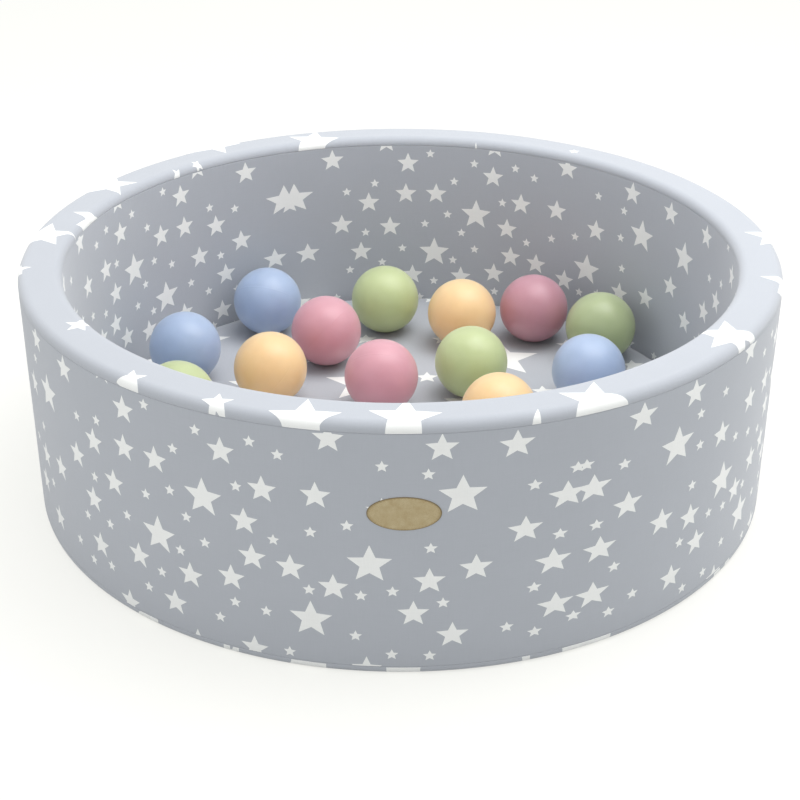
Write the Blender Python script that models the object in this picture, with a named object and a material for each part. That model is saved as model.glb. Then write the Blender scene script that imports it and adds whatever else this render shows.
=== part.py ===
"""A round soft ball pit: a ring of bent foam in a sewn cover, a foam mat in a cover of its own, and loose balls.

Metres, +Z up. The origin is on the floor at the centre of the ring, and the front, with its oval patch, is at -Y.
Both covers open underneath, at a zip that lies in a trough, so that nothing stands proud of the floor face.
"""

import math

import bmesh
import bpy
from mathutils import Matrix, Vector

# Ring
OUTER_DIAMETER = 0.900
WALL_HEIGHT = 0.295
WALL_THICKNESS = 0.050
RIM_ROUNDING = 0.010
RIM_SKIRT = 0.0015
BASE_ROUNDING = 0.006
BASE_SKIRT = 0.003
FOAM_JOINT = 0.0004

# Cloth and the clearance between pieces that touch
FABRIC = 0.0010
GAP = 0.0003

# Oval patch at the front, sewn on a little to the right of the middle
PATCH_WIDTH = 0.074
PATCH_HEIGHT = 0.038
PATCH_THICKNESS = 0.0008
PATCH_LEVEL = 0.195
PATCH_SHIFT = 0.0036

# Mat
MAT_THICKNESS = 0.048
MAT_CLEARANCE = 0.0008
MAT_ROUNDING = 0.007
MAT_SKIRT = 0.003
MAT_ZIP_MARGIN = 0.060

# Balls
BALL_DIAMETER = 0.095
BALL_SPACING = 0.002

# Zip: coil and tape
COIL_WIDTH = 0.0028
COIL_HEIGHT = 0.0022
COIL_GAP = 0.0003
TAPE_WIDTH = 0.0095
TAPE = 0.0006
TAPE_CORD = 0.0002
TAIL_SPREAD = 0.0014
TAIL_LENGTH = 0.016

# Zip: slider, its crown and its pull
ZIP_PLAY = 0.0003
SLIDER_LENGTH = 0.0120
SLIDER_PLATE = 0.0010
SLIDER_WALL = 0.0008
SLIDER_FLARE = 0.0008
SLIDER_NOSE = 0.0014
POST_LENGTH = 0.0040
POST_HALF_WIDTH = 0.0009
POST_CLEARANCE = 0.0009
CROWN_LENGTH = 0.0086
CROWN_WIDTH = 0.0020
CROWN_HEIGHT = 0.0028
CROWN_BAR = 0.0008
CROWN_LEG = 0.0014
PULL_LENGTH = 0.0220
PULL_WIDTH = 0.0060
PULL_THICKNESS = 0.0010
PULL_EYE_PLAY = 0.0005
STOP_LENGTH = 0.0040
TOP_STOP_LENGTH = 0.0018
TOP_STOP_WIDTH = 0.0018

# Zip: the trough that it lies in, and the patch that closes the ring's slot between the zip's two ends
FLOOR_CLEARANCE = 0.0008
LIP_CLEARANCE = 0.0017
TROUGH_RAMP = 0.0030
TROUGH_HEADROOM = 0.0008
RING_ZIP_BREAK = 0.110

# How finely round shapes are stepped, and how far a cutter runs past what it cuts
ROUND_STEPS = 44
RIM_STEPS = 4
FOAM_STEPS = 2
BASE_STEPS = 2
BALL_SUBDIVISIONS = 3
PATCH_STEPS = 12
OVERRUN = 0.001
MERGE_DISTANCE = 0.000001
SHARP_ANGLE = math.radians(35)

# Where the balls lie, as shares of the room that the ring leaves inside, to the right and towards the back
BALL_PLACE_SHARES = {
    "ball_blue_left": (-0.716, 0.318),
    "ball_blue_rear": (-0.470, 0.691),
    "ball_blue_right": (0.608, 0.146),
    "ball_green_rear": (-0.054, 0.708),
    "ball_green_far_right": (0.684, 0.478),
    "ball_green_middle": (0.231, 0.206),
    "ball_green_far_left": (-0.695, -0.048),
    "ball_orange_left": (-0.421, 0.163),
    "ball_orange_rear": (0.214, 0.591),
    "ball_orange_front": (0.304, -0.129),
    "ball_pink_left": (-0.252, 0.446),
    "ball_pink_middle": (-0.061, 0.106),
    "ball_pink_right": (0.467, 0.630),
}

# Colour as seen (red, green, blue from 0 to 255), roughness, metallic
FINISHES = {
    "foam": ((238, 232, 206), 0.95, 0.0),
    "cotton": ((176, 181, 185), 0.90, 0.0),
    "cotton_rim": ((214, 220, 226), 0.90, 0.0),
    "tape": ((150, 154, 158), 0.85, 0.0),
    "nickel": ((196, 196, 192), 0.35, 1.0),
    "veneer": ((190, 168, 118), 0.60, 0.0),
    "blue": ((166, 185, 222), 0.55, 0.0),
    "green": ((184, 204, 132), 0.55, 0.0),
    "orange": ((250, 205, 145), 0.55, 0.0),
    "pink": ((220, 145, 165), 0.55, 0.0),
}

# Worked out from the sizes above
OUTER = OUTER_DIAMETER / 2
INNER = OUTER - WALL_THICKNESS
RIM_SEAM = WALL_HEIGHT - RIM_ROUNDING - RIM_SKIRT
BASE_SEAM = BASE_ROUNDING + BASE_SKIRT
FOAM_OFFSET = FABRIC + GAP
MAT_RADIUS = INNER - MAT_CLEARANCE
MAT_TOP_SEAM = MAT_THICKNESS - MAT_ROUNDING - MAT_SKIRT
BALL_RADIUS = BALL_DIAMETER / 2
STEP = 2 * math.pi / ROUND_STEPS
REAR = math.pi / 2
FRONT = 3 * math.pi / 2

COIL_EDGE = COIL_GAP / 2 + COIL_WIDTH
TAPE_LEVEL = FLOOR_CLEARANCE + CROWN_HEIGHT + SLIDER_PLATE + ZIP_PLAY + COIL_HEIGHT
COIL_LEVEL = TAPE_LEVEL - COIL_HEIGHT
SLIDER_TOP = TAPE_LEVEL + TAPE + ZIP_PLAY + SLIDER_PLATE
SLIDER_FACE = COIL_LEVEL - ZIP_PLAY - SLIDER_PLATE
SLIDER_REAR_HALF = COIL_EDGE + ZIP_PLAY + SLIDER_WALL
SLIDER_FRONT_HALF = SLIDER_REAR_HALF + SLIDER_FLARE
PIVOT_LEVEL = SLIDER_FACE - (CROWN_HEIGHT - CROWN_BAR) / 2
LIP_LEVEL = TAPE_LEVEL - GAP - FABRIC
LIP_END = SLIDER_FRONT_HALF + LIP_CLEARANCE
TROUGH_HEAD = COIL_GAP / 2 + TAPE_WIDTH + GAP
TROUGH_FOOT = TROUGH_HEAD + TROUGH_RAMP
TROUGH_ROOF = SLIDER_TOP + TROUGH_HEADROOM
RING_ZIP_RADIUS = OUTER - WALL_THICKNESS / 2
ORIGIN = Vector((0, 0, 0))
WORLD = Matrix.Identity(4)


def linear(byte):
    """One colour channel from 0 to 255, as seen, in the linear scale that a shader takes."""
    share = byte / 255
    return share / 12.92 if share <= 0.04045 else ((share + 0.055) / 1.055) ** 2.4


def finish_material(name, finish):
    """The piece's own material, in the named finish."""
    colour, roughness, metallic = FINISHES[finish]
    material = bpy.data.materials.new(name)
    material.use_nodes = True
    shader = material.node_tree.nodes["Principled BSDF"]
    shader.inputs["Base Color"].default_value = (*(linear(channel) for channel in colour), 1)
    shader.inputs["Roughness"].default_value = roughness
    shader.inputs["Metallic"].default_value = metallic
    return material


def add_piece(name, bm, finish, pivot=ORIGIN, frame=WORLD, parent=None):
    """Turn a closed bmesh, given in a frame's own places, into an object with its origin at the pivot there."""
    bmesh.ops.remove_doubles(bm, verts=bm.verts, dist=MERGE_DISTANCE)
    bmesh.ops.dissolve_degenerate(bm, edges=bm.edges, dist=MERGE_DISTANCE)
    bmesh.ops.recalc_face_normals(bm, faces=bm.faces)
    bmesh.ops.translate(bm, verts=bm.verts, vec=-pivot)
    mesh = bpy.data.meshes.new(name)
    bm.to_mesh(mesh)
    bm.free()
    mesh.shade_smooth()
    mesh.set_sharp_from_angle(angle=SHARP_ANGLE)
    mesh.materials.append(finish_material(name, finish))
    piece = bpy.data.objects.new(name, mesh)
    bpy.context.scene.collection.objects.link(piece)
    piece.matrix_basis = frame @ Matrix.Translation(pivot)
    piece.parent = parent
    return piece


def add_guide(name, bm, pivot=ORIGIN, frame=WORLD):
    """A shape that only cuts or joins another piece."""
    guide = add_piece(name, bm, "foam", pivot, frame)
    guide.hide_render = True
    guide.display_type = "WIRE"
    return guide


def combine(piece, guide, operation):
    """Cut the guide out of the piece, or join it to the piece."""
    modifier = piece.modifiers.new(guide.name, "BOOLEAN")
    modifier.operation = operation
    modifier.solver = "EXACT"
    modifier.object = guide


def loft(sections, closed=False):
    """A closed skin through sections with equal counts of points. Closed joins the last section to the first."""
    bm = bmesh.new()
    rows = [[bm.verts.new(point) for point in section] for section in sections]
    pairs = list(zip(rows, rows[1:]))
    if closed:
        pairs.append((rows[-1], rows[0]))
    for one, two in pairs:
        for k, corner in enumerate(one):
            after = (k + 1) % len(one)
            bm.faces.new((corner, one[after], two[after], two[k]))
    if not closed:
        bm.faces.new(list(reversed(rows[0])))
        bm.faces.new(rows[-1])
    return bm


def facet_point(radius, azimuth, height):
    """A point on the many-sided ring that every round piece is stepped to, so that their flats lie face to face."""
    from_middle = azimuth % STEP - STEP / 2
    reach = radius * math.cos(STEP / 2) / math.cos(from_middle)
    return Vector((reach * math.cos(azimuth), reach * math.sin(azimuth), height))


def corner_azimuths(start, end):
    """The azimuths of the ring's corners that lie between two azimuths."""
    first = math.floor(start / STEP) + 1
    last = math.ceil(end / STEP) - 1
    return [k * STEP for k in range(first, last + 1)]


def turned(profile):
    """The profile, a list of (radius, height), carried once round the ring."""
    return loft(
        [[facet_point(radius, k * STEP, height) for radius, height in profile] for k in range(ROUND_STEPS)],
        closed=True,
    )


def turned_part(profile, start, end):
    """The profile carried from one azimuth to another, with flat ends."""
    azimuths = [start, *corner_azimuths(start, end), end]
    return loft([[facet_point(radius, azimuth, height) for radius, height in profile] for azimuth in azimuths])


def arc(radius, height, size, start, end, steps):
    """Points of a rounded corner about (radius, height), between two angles in degrees."""
    angles = [math.radians(start + (end - start) * k / steps) for k in range(steps + 1)]
    return [(radius + size * math.cos(angle), height + size * math.sin(angle)) for angle in angles]


def trough_side(offset, height):
    """How far the trough's sloping side is from the zip's centre line, at a height and at an offset into the foam."""
    slope = TROUGH_RAMP / LIP_LEVEL
    shift = offset * math.hypot(1, slope)
    return TROUGH_FOOT + shift - height * slope


def over_rim(offset, steps):
    """The wall's top, from its outer side over to its inner side, at an offset into the foam."""
    level = WALL_HEIGHT - RIM_ROUNDING
    size = RIM_ROUNDING - offset
    return arc(OUTER - RIM_ROUNDING, level, size, 0, 90, steps) + arc(
        INNER + RIM_ROUNDING, level, size, 90, 180, steps
    )


def under_edge(edge, inward, offset, steps):
    """A rounded lower edge, from the side down to the floor face. Inward is -1 where the edge faces out."""
    corner = arc(0, BASE_ROUNDING, BASE_ROUNDING - offset, 0, -90, steps)
    return [(edge + inward * (BASE_ROUNDING - across), height) for across, height in corner]


def shell(outside, inside):
    """A cloth panel's section from the points of its outer face and of its inner face."""
    return outside + inside[::-1]


def add_ring_foam():
    """Two foam strips bent to half rings, with butt joints at the sides."""
    half_joint = FOAM_JOINT / 2 / RING_ZIP_RADIUS
    trough = [
        (trough_side(FOAM_OFFSET, FOAM_OFFSET), FOAM_OFFSET),
        (trough_side(FOAM_OFFSET, TROUGH_ROOF), TROUGH_ROOF),
    ]
    profile = over_rim(FOAM_OFFSET, FOAM_STEPS)
    profile += under_edge(INNER, 1, FOAM_OFFSET, 1)
    profile += [(RING_ZIP_RADIUS - across, height) for across, height in trough]
    profile += [(RING_ZIP_RADIUS + across, height) for across, height in trough[::-1]]
    profile += under_edge(OUTER, -1, FOAM_OFFSET, 1)[::-1]
    for name, start in (("wall_foam_rear", 0), ("wall_foam_front", math.pi)):
        strip = turned_part(profile, start + half_joint, start + math.pi - half_joint)
        add_piece(name, strip, "foam")


def add_ring_cover():
    """The sewn cover: outer and inner panels, the band over the rim, and the base panels with their zip lips."""
    half_gap = GAP / 2

    def wall_panel(face, inward):
        back = face + inward * FABRIC
        low, high = BASE_SEAM + half_gap, RIM_SEAM - half_gap
        return [(face, low), (face, high), (back, high), (back, low)]

    def rim_skin(offset, steps):
        seam = RIM_SEAM + half_gap
        return [(OUTER - offset, seam), *over_rim(offset, steps), (INNER + offset, seam)]

    def base_skin(edge, inward, offset, steps):
        lip = LIP_LEVEL + offset
        zip_side = [
            (trough_side(offset, offset), offset),
            (trough_side(offset, lip), lip),
            (LIP_END, lip),
        ]
        return [
            (edge + inward * offset, BASE_SEAM - half_gap),
            *under_edge(edge, inward, offset, steps),
            *((RING_ZIP_RADIUS - inward * across, height) for across, height in zip_side),
        ]

    add_piece("cover_outer", turned(wall_panel(OUTER, -1)), "cotton")
    add_piece("cover_inner", turned(wall_panel(INNER, 1)), "cotton")
    add_piece("cover_rim", turned(shell(rim_skin(0, RIM_STEPS), rim_skin(FABRIC, FOAM_STEPS))), "cotton_rim")
    for name, edge, inward in (("cover_base_outer", OUTER, -1), ("cover_base_inner", INNER, 1)):
        section = shell(base_skin(edge, inward, 0, BASE_STEPS), base_skin(edge, inward, FABRIC, 1))
        add_piece(name, turned(section), "cotton")


def add_oval_patch():
    """The bare oval on the front, bent to the wall. Its columns are closer together towards its ends."""
    half_width, half_height = PATCH_WIDTH / 2, PATCH_HEIGHT / 2
    centre = FRONT + PATCH_SHIFT / OUTER
    inside = OUTER + GAP
    outside = inside + PATCH_THICKNESS
    offsets = [-half_width * math.cos(math.pi * k / PATCH_STEPS) for k in range(PATCH_STEPS + 1)]
    corners = corner_azimuths(centre - half_width / OUTER, centre + half_width / OUTER)
    offsets += [(corner - centre) * OUTER for corner in corners]
    sections = []
    for offset in sorted(offsets):
        reach = half_height * math.sqrt(max(1 - (offset / half_width) ** 2, 0))
        reach = max(reach, PATCH_THICKNESS)
        azimuth = centre + offset / OUTER
        low, high = PATCH_LEVEL - reach, PATCH_LEVEL + reach
        sections.append(
            [
                facet_point(inside, azimuth, low),
                facet_point(outside, azimuth, low),
                facet_point(outside, azimuth, high),
                facet_point(inside, azimuth, high),
            ]
        )
    add_piece("oval_patch", loft(sections), "veneer")


class Zip:
    """One zip. Along runs from the closed end to the open end, across to the left of that, and up from the floor.

    Place gives the world place of (along, across, up). The slider rests closed, with its middle at along = 0, where
    the coil starts, and it has a straight frame of its own. The coil ends at the bottom stop.
    """

    def __init__(self, name, sides, place, frame, length, tail, corners=()):
        self.name = name
        self.sides = tuple(zip(sides, (1, -1)))
        self.place = place
        self.frame = frame
        self.length = length
        self.tail = tail
        self.corners = [along for along in corners if -tail < along < length + tail]
        self.coil_start = -POST_CLEARANCE

    def solid(self, outline, start, end):
        """An outline of (across, up) carried along the zip."""
        return loft([[self.place(along, *point) for point in outline] for along in (start, end)])

    def add_chains(self):
        """Two half chains: a woven tape with the coil sewn under its edge. Past the coil the tapes draw apart."""
        inner, outer = COIL_GAP / 2, COIL_GAP / 2 + TAPE_WIDTH
        top = TAPE_LEVEL + TAPE
        stops = [(-self.tail, False), (self.coil_start, False), (self.coil_start, True)]
        stops += [(along, self.coil_start < along < self.length) for along in self.corners]
        stops += [(self.length, True), (self.length, False), (self.length + self.tail, False)]
        stops.sort(key=lambda stop: stop[0])
        for side_name, side in self.sides:
            sections = []
            for along, with_coil in stops:
                near = inner if with_coil else TAIL_SPREAD
                edge = COIL_EDGE if with_coil else TAIL_SPREAD + TAPE_CORD
                low = COIL_LEVEL if with_coil else TAPE_LEVEL - TAPE_CORD
                outline = [(outer, TAPE_LEVEL), (edge, TAPE_LEVEL), (edge, low), (near, low), (near, top), (outer, top)]
                sections.append([self.place(along, side * across, up) for across, up in outline])
            add_piece(f"{self.name}_chain_{side_name}", loft(sections), "tape")

    def add_stops(self):
        """A clip under both coils at the open end, and a block under each tape's edge at the closed end."""
        near, wall = COIL_EDGE + GAP, COIL_EDGE + GAP + SLIDER_WALL
        seat, foot, brim = COIL_LEVEL - GAP, COIL_LEVEL - GAP - SLIDER_WALL, TAPE_LEVEL - GAP
        right = [(wall, foot), (wall, brim), (near, brim), (near, seat)]
        clip = right + [(-across, up) for across, up in right[::-1]]
        start = self.length - STOP_LENGTH
        add_piece(f"{self.name}_bottom_stop", self.solid(clip, start, self.length), "nickel")
        block_edge, block_top = TAIL_SPREAD + TOP_STOP_WIDTH, TAPE_LEVEL - TAPE_CORD - GAP
        outline = [
            (TAIL_SPREAD, COIL_LEVEL),
            (block_edge, COIL_LEVEL),
            (block_edge, block_top),
            (TAIL_SPREAD, block_top),
        ]
        start = self.coil_start - GAP
        for side_name, side in self.sides:
            block = [(side * across, up) for across, up in outline]
            stop = self.solid(block, start - TOP_STOP_LENGTH, start)
            add_piece(f"{self.name}_top_stop_{side_name}", stop, "nickel")

    def add_slider(self, parent):
        """The slider: a block with a channel for coils and tapes, a post at its nose that parts the coils, a crown."""
        name = f"{self.name}_slider"
        nose, heel = -SLIDER_LENGTH / 2, SLIDER_LENGTH / 2

        def flare(along):
            return SLIDER_FLARE * (heel - along) / SLIDER_LENGTH

        def block(along, drawn_in):
            half = SLIDER_REAR_HALF + flare(along) - drawn_in
            return [
                Vector((along, across, up))
                for across, up in ((-half, SLIDER_FACE), (half, SLIDER_FACE), (half, SLIDER_TOP), (-half, SLIDER_TOP))
            ]

        def channel(along):
            edge, far = COIL_EDGE + ZIP_PLAY + flare(along), SLIDER_FRONT_HALF + OVERRUN
            floor, slit = COIL_LEVEL - ZIP_PLAY, TAPE_LEVEL - TAPE_CORD - ZIP_PLAY
            roof = TAPE_LEVEL + TAPE + ZIP_PLAY
            right = [(edge, floor), (edge, slit), (far, slit), (far, roof)]
            return [Vector((along, across, up)) for across, up in right + [(-a, b) for a, b in right[::-1]]]

        ends = [(nose, SLIDER_WALL), (nose + SLIDER_NOSE, 0), (heel - SLIDER_NOSE, 0), (heel, SLIDER_WALL)]
        body = loft([block(*end) for end in ends])
        slider = add_piece(name, body, "nickel", frame=self.frame, parent=parent)
        hollow = loft([channel(nose - OVERRUN), channel(heel + OVERRUN)])
        combine(slider, add_guide(f"{name}_channel", hollow, frame=self.frame), "DIFFERENCE")

        tip, waist = nose + SLIDER_WALL / 2, nose + POST_LENGTH / 2
        front = [(tip, -POST_HALF_WIDTH / 2), (waist, -POST_HALF_WIDTH)]
        diamond = [*front, (nose + POST_LENGTH, 0), *((along, -across) for along, across in front[::-1])]
        levels = (SLIDER_FACE + SLIDER_PLATE / 2, SLIDER_TOP - SLIDER_PLATE / 2)
        post = loft([[Vector((along, across, up)) for along, across in diamond] for up in levels])
        combine(slider, add_guide(f"{name}_post", post, frame=self.frame), "UNION")

        reach, leg = CROWN_LENGTH / 2, CROWN_LENGTH / 2 - CROWN_LEG
        root, peak = SLIDER_FACE + SLIDER_PLATE / 3, SLIDER_FACE - CROWN_HEIGHT
        eye = peak + CROWN_BAR
        right = [(leg, eye), (leg, root), (reach, root), (reach, eye), (reach - CROWN_BAR, peak)]
        arch = right + [(-along, up) for along, up in right[::-1]]
        faces = (-CROWN_WIDTH / 2, CROWN_WIDTH / 2)
        crown = loft([[Vector((along, across, up)) for along, up in arch] for across in faces])
        combine(slider, add_guide(f"{name}_crown", crown, frame=self.frame), "UNION")

    def add_pull(self, parent):
        """The pull tab. Its end bar lies in the crown, and its eye clears the crown through the whole swing."""
        pivot = Vector((0, 0, PIVOT_LEVEL))
        bar, half = PULL_THICKNESS / 2, PULL_WIDTH / 2
        corner = half / 2
        right = [
            (-bar, half),
            (PULL_LENGTH - half, half),
            (PULL_LENGTH - corner / 2, half - corner / 2),
            (PULL_LENGTH, corner),
        ]
        outline = right + [(along, -across) for along, across in right[::-1]]
        levels = (PIVOT_LEVEL - bar, PIVOT_LEVEL + bar)
        plate = loft([[Vector((along, across, up)) for along, across in outline] for up in levels])
        pull = add_piece(f"{self.name}_pull", plate, "nickel", pivot, self.frame, parent)
        eye_end = math.hypot(CROWN_LENGTH / 2, CROWN_HEIGHT) + PULL_EYE_PLAY
        eye_half = CROWN_WIDTH / 2 + PULL_EYE_PLAY
        eye = [(bar, -eye_half), (eye_end, -eye_half), (eye_end, eye_half), (bar, eye_half)]
        levels = (PIVOT_LEVEL - bar - OVERRUN, PIVOT_LEVEL + bar + OVERRUN)
        hole = loft([[Vector((along, across, up)) for along, across in eye] for up in levels])
        combine(pull, add_guide(f"{self.name}_pull_eye", hole, pivot, self.frame), "DIFFERENCE")

    def add_all(self, axis):
        """Every piece of the zip. The axis is an empty on the line or turning centre that the slider moves on."""
        self.add_chains()
        self.add_stops()
        self.add_slider(axis)
        self.add_pull(axis)


def add_axis(name, place=ORIGIN):
    """An empty that carries what moves about it."""
    axis = bpy.data.objects.new(name, None)
    bpy.context.scene.collection.objects.link(axis)
    axis.location = place
    return axis


def add_ring_zip():
    """The ring's zip goes nearly all the way round underneath. A cloth tab closes the slot between its two ends."""
    half_break = RING_ZIP_BREAK / 2 / RING_ZIP_RADIUS
    flats_to_slider = math.ceil(half_break / STEP + TAIL_LENGTH / RING_ZIP_RADIUS / STEP)
    from_rear = (flats_to_slider + 0.5) * STEP
    slider_azimuth = REAR + from_rear
    half_flat = RING_ZIP_RADIUS * math.sin(STEP / 2)
    middle = facet_point(RING_ZIP_RADIUS, slider_azimuth, 0)
    frame = Matrix.Translation(middle) @ Matrix.Rotation(slider_azimuth + math.pi / 2, 4, "Z")

    def place(along, across, up):
        """Straight on the slider's own flat, and past it round the ring."""
        if abs(along) < half_flat:
            return frame @ Vector((along, across, up))
        return facet_point(RING_ZIP_RADIUS - across, slider_azimuth + along / RING_ZIP_RADIUS, up)

    corners = [
        (azimuth - slider_azimuth) * RING_ZIP_RADIUS
        for azimuth in corner_azimuths(slider_azimuth - from_rear, slider_azimuth + 2 * math.pi)
    ]
    length = (2 * math.pi - 2 * from_rear) * RING_ZIP_RADIUS
    tail = (from_rear - half_break) * RING_ZIP_RADIUS - GAP
    ring_zip = Zip("ring_zip", ("inner", "outer"), place, frame, length, tail, corners)
    ring_zip.add_all(add_axis("ring_zip_axis"))

    edge = COIL_GAP / 2 + TAPE_WIDTH
    section = [(-edge, TAPE_LEVEL), (edge, TAPE_LEVEL), (edge, TAPE_LEVEL + FABRIC), (-edge, TAPE_LEVEL + FABRIC)]
    section = [(RING_ZIP_RADIUS + across, height) for across, height in section]
    add_piece("ring_zip_end_tab", turned_part(section, REAR - half_break, REAR + half_break), "cotton")


def mat_zip_half():
    """Half the length of the mat's coil, which stops short of the mat's edge."""
    return MAT_RADIUS - MAT_ZIP_MARGIN


def trough_form(offset, low, high, end_room):
    """A tapered block under the mat's zip, between two heights, at an offset into the foam."""
    sections = []
    for height in (low, high):
        across = trough_side(offset, height)
        along = across - TROUGH_HEAD + mat_zip_half() + end_room
        corners = ((-along, -across), (along, -across), (along, across), (-along, across))
        sections.append([Vector((x, y, height)) for x, y in corners])
    return loft(sections)


def add_mat():
    """The mat: a foam disc in a cover of three panels, the lowest of them slit for the zip.

    The trough runs on past the coil at both ends, so that the pull can be laid back there.
    """
    half_gap = GAP / 2
    end_room = max(TAIL_LENGTH, PULL_LENGTH) + LIP_CLEARANCE

    def top_edge(offset):
        size = MAT_ROUNDING - offset
        return arc(MAT_RADIUS - MAT_ROUNDING, MAT_THICKNESS - MAT_ROUNDING, size, 90, 0, FOAM_STEPS)

    def top_skin(offset):
        rim = (MAT_RADIUS - offset, MAT_TOP_SEAM + half_gap)
        return [(0, MAT_THICKNESS - offset), *top_edge(offset), rim]

    def base_skin(offset, steps):
        rim = (MAT_RADIUS - offset, BASE_SEAM - half_gap)
        return [rim, *under_edge(MAT_RADIUS, -1, offset, steps), (0, offset)]

    foam = [(0, MAT_THICKNESS - FOAM_OFFSET), *top_edge(FOAM_OFFSET)]
    foam += [*under_edge(MAT_RADIUS, -1, FOAM_OFFSET, 1), (0, FOAM_OFFSET)]
    disc = add_piece("mat_foam", turned(foam), "foam")
    hollow = trough_form(FOAM_OFFSET, -OVERRUN, TROUGH_ROOF, end_room)
    combine(disc, add_guide("mat_foam_trough", hollow), "DIFFERENCE")

    add_piece("mat_cover_top", turned(shell(top_skin(0), top_skin(FABRIC))), "cotton")
    low, high = BASE_SEAM + half_gap, MAT_TOP_SEAM - half_gap
    back = MAT_RADIUS - FABRIC
    side = [(MAT_RADIUS, low), (MAT_RADIUS, high), (back, high), (back, low)]
    add_piece("mat_cover_side", turned(side), "cotton")

    base = add_piece("mat_cover_base", turned(shell(base_skin(0, BASE_STEPS), base_skin(FABRIC, 1))), "cotton")
    raised = trough_form(FABRIC, FABRIC / 2, LIP_LEVEL + FABRIC, end_room)
    combine(base, add_guide("mat_base_trough_top", raised), "UNION")
    hollow = trough_form(0, -OVERRUN, LIP_LEVEL, end_room)
    combine(base, add_guide("mat_base_trough_room", hollow), "DIFFERENCE")
    slot_end = mat_zip_half() + TAIL_LENGTH / 2
    corners = ((-slot_end, -LIP_END), (slot_end, -LIP_END), (slot_end, LIP_END), (-slot_end, LIP_END))
    levels = (LIP_LEVEL - OVERRUN, LIP_LEVEL + FABRIC + OVERRUN)
    slot = loft([[Vector((x, y, height)) for x, y in corners] for height in levels])
    combine(base, add_guide("mat_base_slot", slot), "DIFFERENCE")


def add_mat_zip():
    """The mat's zip runs straight across underneath, closed at the right."""
    start = Vector((mat_zip_half(), 0, 0))
    frame = Matrix.Translation(start) @ Matrix.Rotation(math.pi, 4, "Z")

    def place(along, across, up):
        return frame @ Vector((along, across, up))

    mat_zip = Zip("mat_zip", ("front", "rear"), place, frame, 2 * mat_zip_half(), TAIL_LENGTH)
    mat_zip.add_all(add_axis("mat_zip_axis"))


def spread_balls():
    """The balls' places on the mat. Where a size brings two too close, they roll apart, and back from the wall."""
    room = INNER - BALL_RADIUS - BALL_SPACING
    places = {name: Vector(shares) * INNER for name, shares in BALL_PLACE_SHARES.items()}
    names = list(places)
    least = BALL_DIAMETER + BALL_SPACING
    for _ in range(400):
        moved = False
        for k, one in enumerate(names):
            for two in names[k + 1 :]:
                apart = places[two] - places[one]
                if apart.length < least:
                    push = apart.normalized() * (least - apart.length) / 2
                    places[one] = places[one] - push
                    places[two] = places[two] + push
                    moved = True
        for name in names:
            if places[name].length > room:
                places[name] = places[name].normalized() * room
                moved = True
        if not moved:
            break
    return places


def add_balls():
    """Hollow blown balls, closed all round. Each has its origin at its own centre."""
    level = MAT_THICKNESS + GAP + BALL_RADIUS
    for name, spot in spread_balls().items():
        centre = Vector((spot.x, spot.y, level))
        bm = bmesh.new()
        bmesh.ops.create_icosphere(bm, subdivisions=BALL_SUBDIVISIONS, radius=BALL_RADIUS)
        bmesh.ops.translate(bm, verts=bm.verts, vec=centre)
        add_piece(name, bm, name.split("_")[1], centre)


def main():
    for old in list(bpy.data.objects):
        bpy.data.objects.remove(old, do_unlink=True)
    add_ring_foam()
    add_ring_cover()
    add_oval_patch()
    add_ring_zip()
    add_mat()
    add_mat_zip()
    add_balls()


main()
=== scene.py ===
"""A round soft ball pit on a pale studio floor: foam ring and mat in star-printed covers, and thirteen balls."""

import bmesh
import bpy
import numpy as np
from mathutils import Matrix, Vector


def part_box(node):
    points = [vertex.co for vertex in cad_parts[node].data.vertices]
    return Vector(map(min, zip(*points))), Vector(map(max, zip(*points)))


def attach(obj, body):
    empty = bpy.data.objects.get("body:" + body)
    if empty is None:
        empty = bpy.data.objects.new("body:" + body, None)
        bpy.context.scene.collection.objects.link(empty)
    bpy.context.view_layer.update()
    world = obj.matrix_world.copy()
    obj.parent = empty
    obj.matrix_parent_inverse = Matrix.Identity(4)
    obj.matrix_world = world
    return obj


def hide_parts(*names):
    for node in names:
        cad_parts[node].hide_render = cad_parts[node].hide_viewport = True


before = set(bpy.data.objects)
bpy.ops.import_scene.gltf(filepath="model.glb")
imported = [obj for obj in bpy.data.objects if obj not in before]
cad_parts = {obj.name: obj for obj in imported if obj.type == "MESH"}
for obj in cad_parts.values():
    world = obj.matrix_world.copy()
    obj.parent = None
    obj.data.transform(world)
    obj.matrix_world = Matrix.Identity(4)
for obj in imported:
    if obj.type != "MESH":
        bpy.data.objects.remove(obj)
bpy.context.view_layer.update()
MM = 0.001


# Ring foam
# Two strips of cream upholstery foam, 50 mm thick, bent to half rings with butt joints at the sides.
# A trough is cut along the middle of the floor face, where the cover's zip lies.

RING_OUTSIDE = 450 * MM
RING_INSIDE = 400 * MM
RING_HEIGHT = 295 * MM
RIM_RADIUS = 10 * MM
BASE_RADIUS = 6 * MM
CLOTH = 1.0 * MM
FOAM_INSET = 1.9 * MM
ZIP_CIRCLE = 423.92 * MM
TROUGH_HALF = 12.95 * MM
TROUGH_SLOPE = 3.0 / 5.8
TROUGH_ROOF = 9.8 * MM
HALF_BUTT_JOINT = 0.2 * MM


def corner(centre_across, centre_up, radius, start, end, steps):
    """Points of a rounded corner: centre plus radius times (cos, sin) of evenly spaced angles, in degrees."""
    angles = np.radians(np.linspace(start, end, steps + 1))
    return np.stack([centre_across + radius * np.cos(angles), centre_up + radius * np.sin(angles)], axis=1)


def densified(outline, step):
    """The outline with a point at least every step along each side, shared evenly."""
    parts = []
    for one, two in zip(outline[:-1], outline[1:]):
        count = max(int(np.ceil(np.linalg.norm(two - one) / step)), 1)
        parts.append(one + (two - one) * (np.arange(count) / count)[:, None])
    return np.concatenate([*parts, outline[-1:]])


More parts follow.
